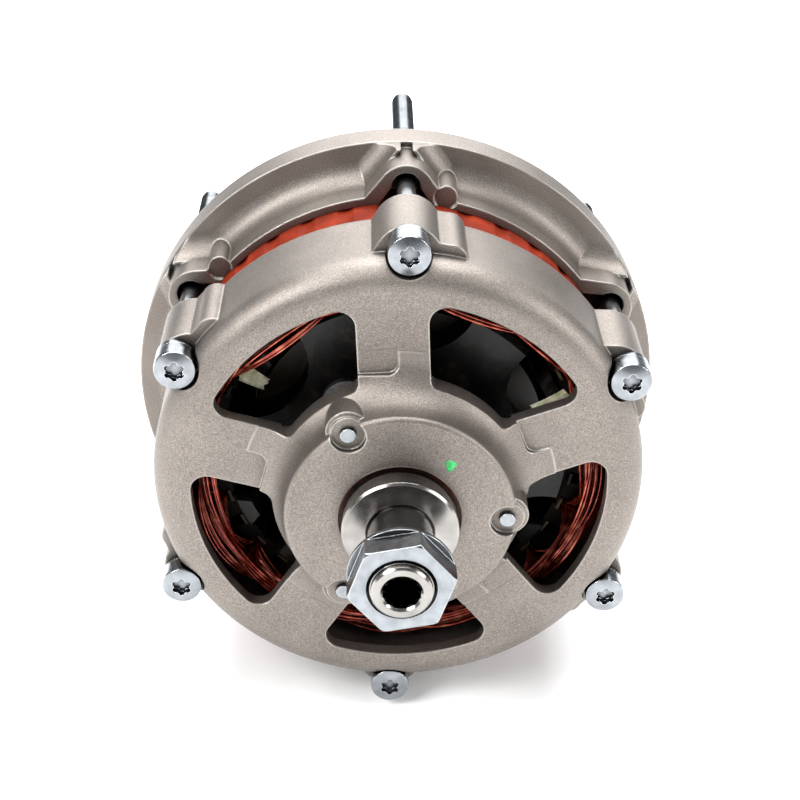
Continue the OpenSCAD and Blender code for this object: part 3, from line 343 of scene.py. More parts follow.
# Which arch a wire belongs to, its place in the bundle from 0 to 1, and which end of the core it
# faces, 1 for the front and -1 for the rear. NUDGE keeps a whole number from being rounded down.
NUDGE = 0.01
nudged = put(tree, "ShaderNodeMath", (wire, NUDGE), operation="ADD")
quotient = put(tree, "ShaderNodeMath", (nudged, given["Wires"]), operation="DIVIDE")
arch = put(tree, "ShaderNodeMath", (quotient,), operation="FLOOR")
rank = put(tree, "ShaderNodeMath", (wire, given["Wires"]), operation="MODULO")
last_rank = put(tree, "ShaderNodeMath", (given["Wires"], 1), operation="SUBTRACT")
in_bundle = put(tree, "ShaderNodeMath", (rank, last_rank), operation="DIVIDE")
nudged = put(tree, "ShaderNodeMath", (arch, NUDGE), operation="ADD")
quotient = put(tree, "ShaderNodeMath", (nudged, given["Slots"]), operation="DIVIDE")
rear = put(tree, "ShaderNodeMath", (quotient,), operation="FLOOR")
facing = put(tree, "ShaderNodeMath", (rear, -2, 1), operation="MULTIPLY_ADD")
arch = put(tree, "ShaderNodeMath", (arch, given["Slots"]), operation="MODULO")

# Four random draws that stay the same along one wire.
wire_id = put(tree, "ShaderNodeMath", (wire, 0.1), operation="ADD")
drawn = {}
for label, shift, low, high in (("lean", 1, 0.25, 0.7), ("depth", 2, 0.0, 0.3), ("droop", 3, 0.0, 0.45),
                                ("fullness", 5, 0.45, 0.75)):
    seed = put(tree, "ShaderNodeMath", (given["Seed"], shift), operation="ADD")
    drawn[label] = put(tree, "FunctionNodeRandomValue", {
        "Min": low, "Max": high, "ID": wire_id, "Seed": seed}, data_type="FLOAT")

# The first and last tenth of a wire run in its slots, from four tenths of the core's half length out
# to its end face. Between them the wire flies round by one pitch and bows towards the crown.
LEG = 0.1
LEG_DEPTH = 0.4
flight = put(tree, "ShaderNodeMapRange", {"Value": along, "From Min": LEG, "From Max": 1 - LEG})
from_middle = put(tree, "ShaderNodeMath", (along, 0.5), operation="SUBTRACT")
from_middle = put(tree, "ShaderNodeMath", (from_middle,), operation="ABSOLUTE")
sunk = put(tree, "ShaderNodeMapRange", {
    "Value": from_middle, "From Min": 0.5 - LEG, "From Max": 0.5, "To Min": 1.0, "To Max": LEG_DEPTH})
half_turn = put(tree, "ShaderNodeMath", (flight, math.pi), operation="MULTIPLY")
swell = put(tree, "ShaderNodeMath", (half_turn,), operation="SINE")
bow = put(tree, "ShaderNodeMath", (swell, drawn["fullness"]), operation="POWER")

pitch = put(tree, "ShaderNodeMath", (2 * math.pi, given["Slots"]), operation="DIVIDE")
lean = put(tree, "ShaderNodeMath", (given["Slot half width"], drawn["lean"]), operation="MULTIPLY")
lean = put(tree, "ShaderNodeMath", (lean, given["Slot mouth"]), operation="DIVIDE")
start = put(tree, "ShaderNodeMath", (given["First angle"], lean), operation="ADD")
start = put(tree, "ShaderNodeMath", (arch, pitch, start), operation="MULTIPLY_ADD")
sweep = put(tree, "ShaderNodeMath", (lean, -2, pitch), operation="MULTIPLY_ADD")
turn = put(tree, "ShaderNodeMath", (flight, sweep, start), operation="MULTIPLY_ADD")

slot_radius = put(tree, "ShaderNodeMix", {
    "Factor": in_bundle, "A": given["Slot floor"], "B": given["Slot mouth"]})
inward = put(tree, "ShaderNodeMath", (in_bundle, 0.7, drawn["depth"]), operation="MULTIPLY_ADD")
inward = put(tree, "ShaderNodeMath", (inward, given["Crown spread"]), operation="MULTIPLY")
crown_radius = put(tree, "ShaderNodeMath", (given["Crown radius"], inward), operation="SUBTRACT")
radius = put(tree, "ShaderNodeMix", {"Factor": bow, "A": slot_radius, "B": crown_radius})

behind = put(tree, "ShaderNodeMath", (1, in_bundle), operation="SUBTRACT")
droop = put(tree, "ShaderNodeMath", (drawn["droop"], behind), operation="MULTIPLY")
climb = put(tree, "ShaderNodeMath", (1, droop), operation="SUBTRACT")
climb = put(tree, "ShaderNodeMath", (climb, given["Rise"]), operation="MULTIPLY")
root = put(tree, "ShaderNodeMath", (given["Half core"], sunk), operation="MULTIPLY")
height = put(tree, "ShaderNodeMath", (bow, climb, root), operation="MULTIPLY_ADD")
height = put(tree, "ShaderNodeMath", (facing, height, given["Core middle"]), operation="MULTIPLY_ADD")

cosine = put(tree, "ShaderNodeMath", (turn,), operation="COSINE")
sine = put(tree, "ShaderNodeMath", (turn,), operation="SINE")
spot = put(tree, "ShaderNodeCombineXYZ", {
    "X": put(tree, "ShaderNodeMath", (radius, cosine), operation="MULTIPLY"),
    "Y": put(tree, "ShaderNodeMath", (height, -1), operation="MULTIPLY"),
    "Z": put(tree, "ShaderNodeMath", (radius, sine), operation="MULTIPLY")})
shaped = put(tree, "GeometryNodeSetPosition", {"Geometry": loose, "Position": spot})
section = put(tree, "GeometryNodeCurvePrimitiveCircle", {"Resolution": 7, "Radius": given["Wire radius"]})
close_tree(tree, shaped, section, given["Material"])

WIRES = {
    "Slots": 6, "Wires": 10, "Wire radius": 0.36 * MM, "Slot floor": 51.6 * MM, "Slot mouth": 57.6 * MM,
    "Crown spread": 6.2 * MM, "Core middle": 31.75 * MM, "Half core": 15.75 * MM, "Slot half width": 1.6 * MM,
    "Material": enamel}
for phase, slot_angle, crown, rise in (("u", 0, 58.6, 11.4), ("v", 20, 57.0, 12.6), ("w", 40, 55.2, 13.6)):
    values = dict(WIRES, Seed=slot_angle + 3, Rise=rise * MM)
    values["Crown radius"] = crown * MM
    values["First angle"] = math.radians(slot_angle)
    wires = grown("phase_wires_" + phase, wire_tree, wire_keys, values)
    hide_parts("phase_winding_" + phase)
    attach(wires, "stator_assembly")

# Slot wedges. Strips of pressboard, cut to length and driven into the mouth of each slot, where they
# hold the wires down.

# Cream pressboard: pale and matt where it is dry, brown to black where the resin has soaked it.
pressboard, tree, place = blank("cream_pressboard")
soaked = put(tree, "ShaderNodeTexNoise", {"Vector": place, "Scale": 1 / (9 * MM), "Detail": 3.0})
colour = put(tree, "ShaderNodeValToRGB", {"Fac": soaked}, stops=(
    (0.42, "1f180f"), (0.58, "5f5338"), (0.72, "d6cfab")))
finish(pressboard, "slot_wedges", Base_Color=colour, Roughness=0.7)

# Separator paper. Two leaves of stiff paper, cut with scissors and tucked between the phases at the
# front end turns. They stand clear in front of the pole faces, which turn behind them.

LEAF_STEPS = 6
LEAF_CLEAR = 1.4
LEAF_THICK = 0.3 * MM
pole_face = -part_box("front_claw_pole")[0][1] / MM
verts, faces = [], []
for middle, half, near, far in ((147.5, 3.2, 43.2, 50.5), (24.5, 4.6, 40.2, 50.5)):
    first = len(verts)
    for i in range(LEAF_STEPS + 1):
        for j in range(LEAF_STEPS + 1):
            out = j / LEAF_STEPS
            angle = math.radians(middle + half * (2 * i / LEAF_STEPS - 1) * (0.75 + 0.25 * out))
            r = near + 0.45 * math.sin(1.9 * i) + (far - near) * out
            curl = pole_face + LEAF_CLEAR + 0.7 * math.sin(2.2 * out) + 0.4 * math.cos(1.3 * i)
            verts.append((r * math.cos(angle) * MM, -curl * MM, r * math.sin(angle) * MM))
    for i in range(LEAF_STEPS):
        for j in range(LEAF_STEPS):
            here = first + i * (LEAF_STEPS + 1) + j
            beside = here + LEAF_STEPS + 1
            faces.append((here, beside, beside + 1, here + 1))

# Separator paper: yellowed white and faintly fibrous, with a slight sheen from the resin.
separator, tree, place = blank("phase_separator_paper")
stain = put(tree, "ShaderNodeTexNoise", {"Vector": place, "Scale": 1 / (2 * MM), "Detail": 3.0})
fibre = put(tree, "ShaderNodeTexNoise", {"Vector": place, "Scale": 1 / (0.6 * MM)})
colour = put(tree, "ShaderNodeValToRGB", {"Fac": stain}, stops=((0.3, "98976f"), (0.7, "d9d7bd")))
relief = put(tree, "ShaderNodeBump", {"Height": fibre, "Distance": 0.05 * MM})
finish(separator, Base_Color=colour, Roughness=0.6, Normal=relief)
leaf_mesh = bpy.data.meshes.new("separator_leaves")
leaf_mesh.from_pydata(verts, [], faces)
leaf_mesh.materials.append(separator)
leaves = bpy.data.objects.new("separator_leaves", leaf_mesh)
bpy.context.scene.collection.objects.link(leaves)
thick = leaves.modifiers.new("thickness", "SOLIDIFY")
thick.thickness = LEAF_THICK
thick.offset = 0.0
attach(leaves, "stator_assembly")

# Field coil. Wound on a nylon bobbin that sits on the pole core inside the claws, then bound round
# with cotton tape and varnished.

TAPE_WIDTH = 5.0
COIL_RADIUS = 40.0

# Varnished cotton tape: nearly black, with a glossy film and a step at each turn of the tape.
tape, tree, place = blank("varnished_cotton_tape")
polar = put(tree, "ShaderNodeSeparateXYZ", (place,)).outputs
angle = put(tree, "ShaderNodeMath", (polar["Z"], polar["X"]), operation="ARCTAN2")
wraps = put(tree, "ShaderNodeMath", (angle, COIL_RADIUS / TAPE_WIDTH), operation="MULTIPLY")
wraps = put(tree, "ShaderNodeMath", (wraps,), operation="FRACT")
stain = put(tree, "ShaderNodeTexNoise", {"Vector": place, "Scale": 1 / (4 * MM), "Detail": 3.0})
shade = put(tree, "ShaderNodeMix", {"Factor": 0.3, "A": stain, "B": wraps})
colour = put(tree, "ShaderNodeValToRGB", {"Fac": shade}, stops=(
    (0.3, "0f0a06"), (0.6, "2a1d12"), (0.8, "4a3a22")))
dull = put(tree, "ShaderNodeMapRange", {"Value": wraps, "To Min": 0.35, "To Max": 0.6})
relief = put(tree, "ShaderNodeBump", {"Height": wraps, "Distance": 0.3 * MM})
finish(tape, "field_coil", Base_Color=colour, Roughness=dull, Normal=relief, IOR=1.5, Coat_Weight=0.3)

# Smoked nylon: moulded, dark brown and satin, a little lighter where it is thin.
nylon, tree, place = blank("smoked_nylon_bobbin")
cloud = put(tree, "ShaderNodeTexNoise", {"Vector": place, "Scale": 1 / (9 * MM)})
colour = put(tree, "ShaderNodeValToRGB", {"Fac": cloud}, stops=((0.3, "15100a"), (0.7, "3a2f1e")))
finish(nylon, "coil_bobbin", Base_Color=colour, IOR=1.53, Roughness=0.45)

# Phase leads. The three wires' ends, drawn through glass sleeving and led to the rear, where they
# reach the rectifier.

# Braided glass sleeving: black and matt, with a small regular check from the braid.
sleeve, tree, place = blank("braided_glass_sleeving")
braid = put(tree, "ShaderNodeTexChecker", {"Vector": place, "Scale": 1 / (0.8 * MM)}).outputs["Fac"]
colour = put(tree, "ShaderNodeMix", {"Factor": braid, "A": "17120f", "B": "2f2823"}, data_type="RGBA")
relief = put(tree, "ShaderNodeBump", {"Height": braid, "Distance": 0.12 * MM})
finish(sleeve, "phase_leads", Base_Color=colour, Roughness=0.75, Normal=relief)

# Rotor. Two forged iron claw poles, pressed onto the shaft from both sides so that their claws mesh
# round the field coil. The pole core between them is a turned iron ring.

# Black varnish over forged iron: dipped, so it has run and pooled, with a few glints where it is thick.
iron, tree, place = blank("black_varnished_iron")
pool = put(tree, "ShaderNodeTexNoise", {
    "Vector": place, "Scale": 1 / (5 * MM), "Detail": 4.0, "Roughness": 0.6})
colour = put(tree, "ShaderNodeValToRGB", {"Fac": pool}, stops=(
    (0.4, "040303"), (0.58, "100c0a"), (0.75, "332a22")))
dull = put(tree, "ShaderNodeMapRange", {"Value": pool, "To Min": 0.25, "To Max": 0.65})
relief = put(tree, "ShaderNodeBump", {"Height": pool, "Distance": 0.25 * MM})
finish(iron, "front_claw_pole", "rear_claw_pole", Base_Color=colour, Roughness=dull, Normal=relief, IOR=1.5,
       Specular_IOR_Level=0.25, Coat_Weight=0.12, Coat_Roughness=0.2)

# Turned soft iron: bare, grey and satin.
core_iron, tree, place = blank("turned_soft_iron")
cloud = put(tree, "ShaderNodeTexNoise", {"Vector": place, "Scale": 1 / (3 * MM), "Detail": 3.0})
colour = put(tree, "ShaderNodeValToRGB", {"Fac": cloud}, stops=((0.3, "4a4643"), (0.7, "6e6965")))
finish(core_iron, "pole_core", Base_Color=colour, Metallic=1.0, Roughness=0.45)

# Shaft end. The steel shaft, ground between centres, with a twelve-point socket in its end that holds
# it while the nut is turned. The spacer collar is slipped on in front of the bearing.

GRINDING = 0.5 * MM
SOCKET_RADIUS = 6.3 * MM
SOCKET_MOUTH = -115.4 * MM

# Ground steel: bright, with fine rings about the axis that draw reflections out into bands. The
# inside of the socket is painted black as shade. The rings are drawn coarser than real ones, to show.
steel, tree, place = blank("ground_steel")
across = put(tree, "ShaderNodeVectorMath", (place, (1, 0, 1)), operation="MULTIPLY")
reach = put(tree, "ShaderNodeVectorMath", (across,), operation="LENGTH")
# Painted shade: black inside the socket, within its radius and behind its mouth.
outer = put(tree, "ShaderNodeMath", (reach, SOCKET_RADIUS), operation="GREATER_THAN")
back = put(tree, "ShaderNodeSeparateXYZ", (place,)).outputs["Y"]
rim = put(tree, "ShaderNodeMath", (back, SOCKET_MOUTH), operation="LESS_THAN")
outside_socket = put(tree, "ShaderNodeMath", (outer, rim), operation="MAXIMUM")
cloud = put(tree, "ShaderNodeTexNoise", {"Vector": place, "Scale": 1 / (8 * MM)})
ground = put(tree, "ShaderNodeValToRGB", {"Fac": cloud}, stops=((0.3, "7d7a77"), (0.7, "9c9996")))
colour = put(tree, "ShaderNodeMix", {"Factor": outside_socket, "A": "070707", "B": ground}, data_type="RGBA")
smear = put(tree, "ShaderNodeTexNoise", {"Vector": place, "Scale": 1 / (3 * MM)})
dull = put(tree, "ShaderNodeMapRange", {"Value": smear, "To Min": 0.13, "To Max": 0.26})
rings = put(tree, "ShaderNodeTexWave", {"Vector": place, "Scale": ONE_BAND / GRINDING, "Distortion": 1.5,
                                        "Detail": 2.0}, wave_type="RINGS", rings_direction="Y").outputs["Fac"]
rounded = put(tree, "ShaderNodeBevel", {"Radius": 0.25 * MM}, samples=6)
relief = put(tree, "ShaderNodeBump", {"Height": rings, "Distance": 0.004 * MM, "Normal": rounded})
finish(steel, "shaft", "spacer_collar", Base_Color=colour, Roughness=dull, Normal=relief, Metallic=1.0)

# Screws. Through bolts, washers, nuts and small screws: steel, cold headed or turned, with rolled
# threads. The bolts pass both housings, and their ends are the studs that hold the alternator.

# Bright zinc plate: a cool white shine, a little duller in patches, with painted shade in the drive
# recesses and a painted highlight along the edges.
zinc, tree, place = blank("bright_zinc_plate")
patch = put(tree, "ShaderNodeTexNoise", {"Vector": place, "Scale": 1 / (2.5 * MM), "Detail": 3.0})
plate = put(tree, "ShaderNodeValToRGB", {"Fac": patch}, stops=((0.3, "7f8386"), (0.7, "92969a")))
# Painted shade: the plate goes nearly black where ambient occlusion finds a recess.
open_air = put(tree, "ShaderNodeAmbientOcclusion", {"Distance": 2.5 * MM}, samples=6).outputs["AO"]
unshaded_zinc = put(tree, "ShaderNodeMath", (open_air, 1.6), operation="POWER")
plate = put(tree, "ShaderNodeMix", {"Factor": unshaded_zinc, "A": "0c0c0d", "B": plate}, data_type="RGBA")
rounded, edge = edge_bevel_highlight(tree, 0.3)
# Painted highlight: a light rim colour along the edges.
painted_highlight = put(tree, "ShaderNodeMath", (edge, 0.6), operation="MULTIPLY")
plate = put(tree, "ShaderNodeMix", {"Factor": painted_highlight, "A": plate, "B": "dfe3e6"}, data_type="RGBA")
dull = put(tree, "ShaderNodeMapRange", {"Value": patch, "To Min": 0.16, "To Max": 0.30})
relief = put(tree, "ShaderNodeBump", {"Height": patch, "Distance": 0.02 * MM, "Normal": rounded})
finish(zinc, "through_bolts", "bolt_washers", "retainer_screws", "shaft_nut", "rectifier_screws",
       "battery_terminal", "terminal_nut", "regulator_screws", "suppressor_screw", Base_Color=plate,
       Roughness=dull, Normal=relief, Metallic=1.0)

# Threads. Each is a rod whose radius rises to a crest at every fourth station, so the turns are
# rings and not a helix. One rod stands on each point of a circle round the axis.
tree, thread_keys, given = new_tree("rolled_threads", (
    ("Studs", "Int"), ("Circle radius", "Float"), ("First angle", "Float"), ("Root radius", "Float"),
    ("Depth", "Float"), ("Turns", "Int"), ("Start", "Float"), ("End", "Float"), ("Material", "Material")))
thread_tree = tree
axis = put(tree, "GeometryNodeCurvePrimitiveLine", {
    "Start": put(tree, "ShaderNodeCombineXYZ", {"Y": given["Start"]}),
    "End": put(tree, "ShaderNodeCombineXYZ", {"Y": given["End"]})})
count = put(tree, "ShaderNodeMath", (given["Turns"], 4, 1), operation="MULTIPLY_ADD")
flanks = put(tree, "GeometryNodeResampleCurve", {"Curve": axis, "Count": count})
number = put(tree, "GeometryNodeInputIndex")
quarter = put(tree, "ShaderNodeMath", (number, 4), operation="MODULO")
crest = put(tree, "ShaderNodeMath", (quarter, 2, 0.5), operation="COMPARE")
waist = put(tree, "ShaderNodeMath", (crest, given["Depth"], given["Root radius"]), operation="MULTIPLY_ADD")
pitch = put(tree, "ShaderNodeMath", (2 * math.pi, given["Studs"]), operation="DIVIDE")
angle = put(tree, "ShaderNodeMath", (number, pitch, given["First angle"]), operation="MULTIPLY_ADD")
cosine = put(tree, "ShaderNodeMath", (angle,), operation="COSINE")
sine = put(tree, "ShaderNodeMath", (angle,), operation="SINE")
stand = put(tree, "ShaderNodeCombineXYZ", {
    "X": put(tree, "ShaderNodeMath", (given["Circle radius"], cosine), operation="MULTIPLY"),
    "Z": put(tree, "ShaderNodeMath", (given["Circle radius"], sine), operation="MULTIPLY")})
feet = put(tree, "GeometryNodePoints", {"Count": given["Studs"], "Position": stand})
rod = put(tree, "GeometryNodeCurvePrimitiveCircle", {"Resolution": 24, "Radius": 1.0})
tubes = put(tree, "GeometryNodeCurveToMesh", {
    "Curve": flanks, "Profile Curve": rod, "Scale": waist, "Fill Caps": True})
placed = put(tree, "GeometryNodeInstanceOnPoints", {"Points": feet, "Instance": tubes})
real = put(tree, "GeometryNodeRealizeInstances", {"Geometry": placed})
coated = put(tree, "GeometryNodeSetMaterial", {"Geometry": real, "Material": given["Material"]})
put(tree, "NodeGroupOutput", (coated,))

THREADS = {
    "stud_threads": {
        "Studs": 6, "Circle radius": 68.5 * MM, "First angle": math.radians(30), "Root radius": 3.01 * MM,
        "Depth": 0.22 * MM, "Turns": 41, "Start": 3.0 * MM, "End": 44.0 * MM},
    "battery_thread": {
        "Studs": 1, "Circle radius": 41.0 * MM, "First angle": math.radians(36), "Root radius": 4.0 * MM,
        "Depth": 0.14 * MM, "Turns": 6, "Start": 47.6 * MM, "End": 55.2 * MM}}
for name, sizes in THREADS.items():
    thread = grown(name, thread_tree, thread_keys, dict(sizes, Material=zinc))
    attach(thread, "stator_assembly")

# Shaft nut. A hexagon nut, turned from bar and plated like the screws, with a washer face behind. Its
# front corners are cut back by a thirty-degree chamfer, and its bore is countersunk.

ACROSS_FLATS = 24.0
NUT_TURN = 12.6
NUT_BORE = 8.02
NUT_SINK = 8.9
NUT_SINK_DEPTH = 0.8
NUT_FACE = 13.1
NUT_RIM = 13.6
NUT_RIM_HEIGHT = 1.0
NUT_STEPS = 144
LEAST_CHAMFER = 0.12
nut_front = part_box("shaft_nut")[0][1] / MM
nut_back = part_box("shaft_nut")[1][1] / MM
washer = nut_back - NUT_RIM_HEIGHT
verts, faces = [], []
for step in range(NUT_STEPS):
    degrees = step * 360 / NUT_STEPS
    side = ACROSS_FLATS / 2 / math.cos(math.radians((degrees - NUT_TURN) % 60 - 30))
    drop = max(LEAST_CHAMFER, (side - NUT_FACE) * math.tan(math.radians(30)))
    face = min(side - LEAST_CHAMFER, NUT_FACE)
    profile = ((NUT_BORE, nut_back), (NUT_RIM, nut_back), (NUT_RIM, washer), (side, washer),
               (side, nut_front + drop), (face, nut_front), (NUT_SINK, nut_front),
               (NUT_BORE, nut_front + NUT_SINK_DEPTH))
    turned = math.radians(degrees)
    verts += [(r * math.cos(turned) * MM, y * MM, r * math.sin(turned) * MM) for r, y in profile]
levels = len(profile)
for step in range(NUT_STEPS):
    here = step * levels
    beside = (step + 1) % NUT_STEPS * levels
    for level in range(levels):
        above = (level + 1) % levels
        faces.append((here + level, beside + level, beside + above, here + above))
nut_mesh = bpy.data.meshes.new("hexagon_nut")
nut_mesh.from_pydata(verts, [], faces)
nut_mesh.materials.append(zinc)
nut = bpy.data.objects.new("hexagon_nut", nut_mesh)
bpy.context.scene.collection.objects.link(nut)
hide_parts("shaft_nut")
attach(nut, "rotor")

# Bearings and seals. Two deep-groove ball bearings: hardened steel rings pressed onto the shaft and
# into the housings, with balls in a pressed cage. Rubber seals close the front one and the hub's lip.

# Lapped bearing steel: nearly a mirror, and slightly cool.
lapped, tree, place = blank("lapped_bearing_steel")
patch = put(tree, "ShaderNodeTexNoise", {"Vector": place, "Scale": 1 / (4 * MM)})
colour = put(tree, "ShaderNodeValToRGB", {"Fac": patch}, stops=((0.3, "8e9296"), (0.7, "aeb2b5")))
dull = put(tree, "ShaderNodeMapRange", {"Value": patch, "To Min": 0.08, "To Max": 0.18})
finish(lapped, "front_bearing_outer_ring", "front_bearing_inner_ring", "front_bearing_balls",
       "rear_bearing_outer_ring", "rear_bearing_inner_ring", "rear_bearing_balls", Base_Color=colour,
       Roughness=dull, Metallic=1.0)

# Pressed brass: dull yellow, with a thin film of grease in patches.
brass, tree, place = blank("pressed_brass")
patch = put(tree, "ShaderNodeTexNoise", {"Vector": place, "Scale": 1 / (3 * MM), "Detail": 3.0})
colour = put(tree, "ShaderNodeValToRGB", {"Fac": patch}, stops=((0.3, "8a7440"), (0.7, "bfa565")))
dull = put(tree, "ShaderNodeMapRange", {"Value": patch, "To Min": 0.25, "To Max": 0.42})
finish(brass, "front_bearing_cage", "rear_bearing_cage", Base_Color=colour, Roughness=dull, Metallic=1.0)

# Nitrile rubber: red-brown and dull, with a slightly dusty skin.
rubber, tree, place = blank("nitrile_rubber")
dust = put(tree, "ShaderNodeTexNoise", {"Vector": place, "Scale": 1 / (2 * MM), "Detail": 3.0})
grain = put(tree, "ShaderNodeTexNoise", {"Vector": place, "Scale": 1 / (0.3 * MM)})
colour = put(tree, "ShaderNodeValToRGB", {"Fac": dust}, stops=((0.3, "34100a"), (0.7, "66241a")))
relief = put(tree, "ShaderNodeBump", {"Height": grain, "Distance": 0.03 * MM})
finish(rubber, "hub_seal", "front_bearing_seals", Base_Color=colour, IOR=1.52, Roughness=0.6, Normal=relief)

# Bearing retainer. A flat plate blanked from sheet steel, which holds the front bearing from inside.
# Its screws are put in from behind, and their ends show in the face of the hub.

# Cold-rolled sheet: grey, with faint marks drawn out in the direction of rolling.
sheet, tree, place = blank("cold_rolled_sheet")
drawn_out = put(tree, "ShaderNodeMapping", {"Vector": place, "Scale": (1, 1, 12)})
marks = put(tree, "ShaderNodeTexNoise", {"Vector": drawn_out, "Scale": 1 / (20 / 3 * MM), "Detail": 3.0})
colour = put(tree, "ShaderNodeValToRGB", {"Fac": marks}, stops=((0.3, "55575a"), (0.7, "77797c")))
dull = put(tree, "ShaderNodeMapRange", {"Value": marks, "To Min": 0.28, "To Max": 0.48})
finish(sheet, "bearing_retainer", Base_Color=colour, Roughness=dull, Metallic=1.0)

# Suppressor. A capacitor in a drawn steel can on a tab, which one screw holds to the rear wall. It
# keeps the rectifier's noise off the wiring.

# Tinned can: light grey and satin, with soft corners from the drawing die.
tinned, tree, place = blank("tinned_can")
patch = put(tree, "ShaderNodeTexNoise", {"Vector": place, "Scale": 1 / (5 * MM), "Detail": 3.0})
colour = put(tree, "ShaderNodeValToRGB", {"Fac": patch}, stops=((0.3, "6d7173"), (0.7, "8c9092")))
dull = put(tree, "ShaderNodeMapRange", {"Value": patch, "To Min": 0.24, "To Max": 0.42})
rounded = put(tree, "ShaderNodeBevel", {"Radius": 0.8 * MM}, samples=6)
relief = put(tree, "ShaderNodeBump", {"Height": patch, "Distance": 0.03 * MM, "Normal": rounded})
finish(tinned, "suppressor", Base_Color=colour, Roughness=dull, Normal=relief, Metallic=1.0)

# Rectifier and regulator. Two aluminium plates with diodes pressed into them, held apart by moulded
# pillars and screwed to the rear wall. The regulator's moulded case also holds the brushes.

# Drawn aluminium plate: light grey, with fine long marks from the drawing die.
drawn_plate, tree, place = blank("drawn_aluminium_plate")
drawn_out = put(tree, "ShaderNodeMapping", {"Vector": place, "Scale": (1, 1, 10)})
marks = put(tree, "ShaderNodeTexNoise", {"Vector": drawn_out, "Scale": 1 / (25 / 3 * MM), "Detail": 4.0})
colour = put(tree, "ShaderNodeValToRGB", {"Fac": marks}, stops=((0.3, "606366"), (0.7, "838688")))
dull = put(tree, "ShaderNodeMapRange", {"Value": marks, "To Min": 0.26, "To Max": 0.44})
rounded = put(tree, "ShaderNodeBevel", {"Radius": 0.3 * MM}, samples=6)
relief = put(tree, "ShaderNodeBump", {"Height": marks, "Distance": 0.02 * MM, "Normal": rounded})
finish(drawn_plate, "negative_heat_sink", "positive_heat_sink", Base_Color=colour, Roughness=dull,
       Normal=relief, Metallic=1.0)

# Nickelled diode cup: warm grey and bright, a little cloudy.
nickel, tree, place = blank("nickelled_diode_cup")
patch = put(tree, "ShaderNodeTexNoise", {"Vector": place, "Scale": 1 / (2 * MM)})
colour = put(tree, "ShaderNodeValToRGB", {"Fac": patch}, stops=((0.3, "6f6c67"), (0.7, "8f8b85")))
dull = put(tree, "ShaderNodeMapRange", {"Value": patch, "To Min": 0.2, "To Max": 0.36})
finish(nickel, "negative_diodes", "positive_diodes", Base_Color=colour, Roughness=dull, Metallic=1.0)

# Moulded black plastic: matt, with the fine grain of the mould and soft edges.
plastic, tree, place = blank("moulded_black_plastic")
cloud = put(tree, "ShaderNodeTexNoise", {"Vector": place, "Scale": 1 / (14 * MM)})
colour = put(tree, "ShaderNodeValToRGB", {"Fac": cloud}, stops=((0.3, "0d0d0e"), (0.7, "1a1a1d")))
grain = put(tree, "ShaderNodeTexNoise", {"Vector": place, "Scale": 1 / (0.35 * MM)})
dull = put(tree, "ShaderNodeMapRange", {"Value": grain, "To Min": 0.42, "To Max": 0.62})
rounded = put(tree, "ShaderNodeBevel", {"Radius": 0.5 * MM}, samples=6)
relief = put(tree, "ShaderNodeBump", {"Height": grain, "Distance": 0.05 * MM, "Normal": rounded})
finish(plastic, "rectifier_pillars", "terminal_insulator", "regulator", "slip_ring_sleeve", Base_Color=colour,
       Roughness=dull, Normal=relief, IOR=1.5)

# Slip rings and brushes. Two copper rings on a plastic sleeve at the rear end of the shaft, and the
# brush that rubs on each, pressed from powder and free to slide in its holder.

# Turned copper: warm and bright, browner where the brush has rubbed.
copper, tree, place = blank("turned_copper_ring")
track = put(tree, "ShaderNodeTexNoise", {"Vector": place, "Scale": 1 / (2 * MM), "Detail": 3.0})
colour = put(tree, "ShaderNodeValToRGB", {"Fac": track}, stops=((0.3, "7a4528"), (0.7, "c17a4a")))
dull = put(tree, "ShaderNodeMapRange", {"Value": track, "To Min": 0.18, "To Max": 0.36})
finish(copper, "front_slip_ring", "rear_slip_ring", Base_Color=colour, Roughness=dull, Metallic=1.0)

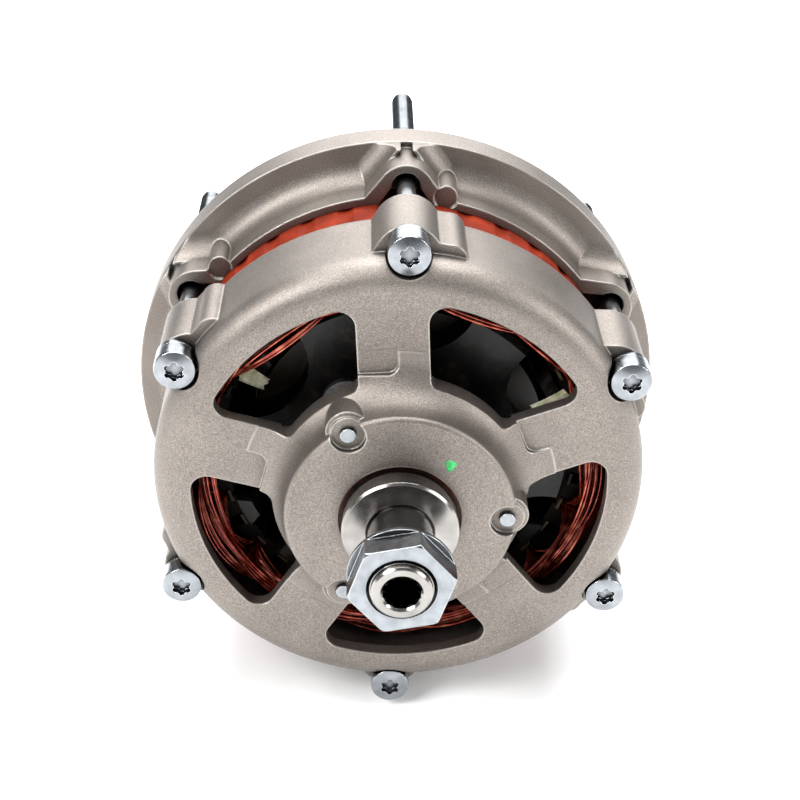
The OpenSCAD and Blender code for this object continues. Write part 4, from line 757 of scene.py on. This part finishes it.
# Pressed copper graphite: dark grey and gritty, with specks of copper.
graphite, tree, place = blank("pressed_copper_graphite")
grit = put(tree, "ShaderNodeTexNoise", {
    "Vector": place, "Scale": 1 / (0.4 * MM), "Detail": 3.0, "Roughness": 0.7})
colour = put(tree, "ShaderNodeValToRGB", {"Fac": grit}, stops=(
    (0.4, "1c1b1c"), (0.6, "39322e"), (0.75, "5a4033")))
relief = put(tree, "ShaderNodeBump", {"Height": grit, "Distance": 0.04 * MM})
finish(graphite, "front_brush", "rear_brush", Base_Color=colour, Metallic=0.3, Roughness=0.5, Normal=relief)

# Brush springs. One coil of drawn wire behind each brush, which presses it onto its ring and gets
# shorter as the brush moves back into the holder.

# Drawn spring wire: bright, smooth and cool.
spring_wire, tree, place = blank("drawn_spring_wire")
patch = put(tree, "ShaderNodeTexNoise", {"Vector": place, "Scale": 1 / (1.5 * MM)})
colour = put(tree, "ShaderNodeValToRGB", {"Fac": patch}, stops=((0.3, "8b9096"), (0.7, "c4c8cc")))
dull = put(tree, "ShaderNodeMapRange", {"Value": patch, "To Min": 0.15, "To Max": 0.3})
finish(spring_wire, Base_Color=colour, Roughness=dull, Metallic=1.0)

tree, coil_keys, given = new_tree("coiled_wire", (
    ("Turns", "Float"), ("Coil radius", "Float"), ("Length", "Float"), ("Wire radius", "Float"),
    ("Foot", "Vector"), ("Material", "Material")))
coil_tree = tree
helix = put(tree, "GeometryNodeCurveSpiral", {
    "Resolution": 24, "Rotations": given["Turns"], "Start Radius": given["Coil radius"],
    "End Radius": given["Coil radius"], "Height": given["Length"]})
stood = put(tree, "GeometryNodeTransform", {"Geometry": helix, "Translation": given["Foot"]})
section = put(tree, "GeometryNodeCurvePrimitiveCircle", {"Resolution": 10, "Radius": given["Wire radius"]})
close_tree(tree, stood, section, given["Material"])

COIL = {"Turns": 6.0, "Coil radius": 1.9 * MM, "Wire radius": 0.3 * MM, "Material": spring_wire}
for end in ("front", "rear"):
    low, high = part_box(end + "_brush_spring")
    free = high[2] - low[2]
    foot = ((low[0] + high[0]) / 2, (low[1] + high[1]) / 2, low[2] + COIL["Wire radius"])
    spring = grown(end + "_coil_spring", coil_tree, coil_keys, dict(
        COIL, Foot=foot, Length=free - 2 * COIL["Wire radius"]))
    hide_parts(end + "_brush_spring")
    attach(spring, "stator_assembly")
    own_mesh(spring)
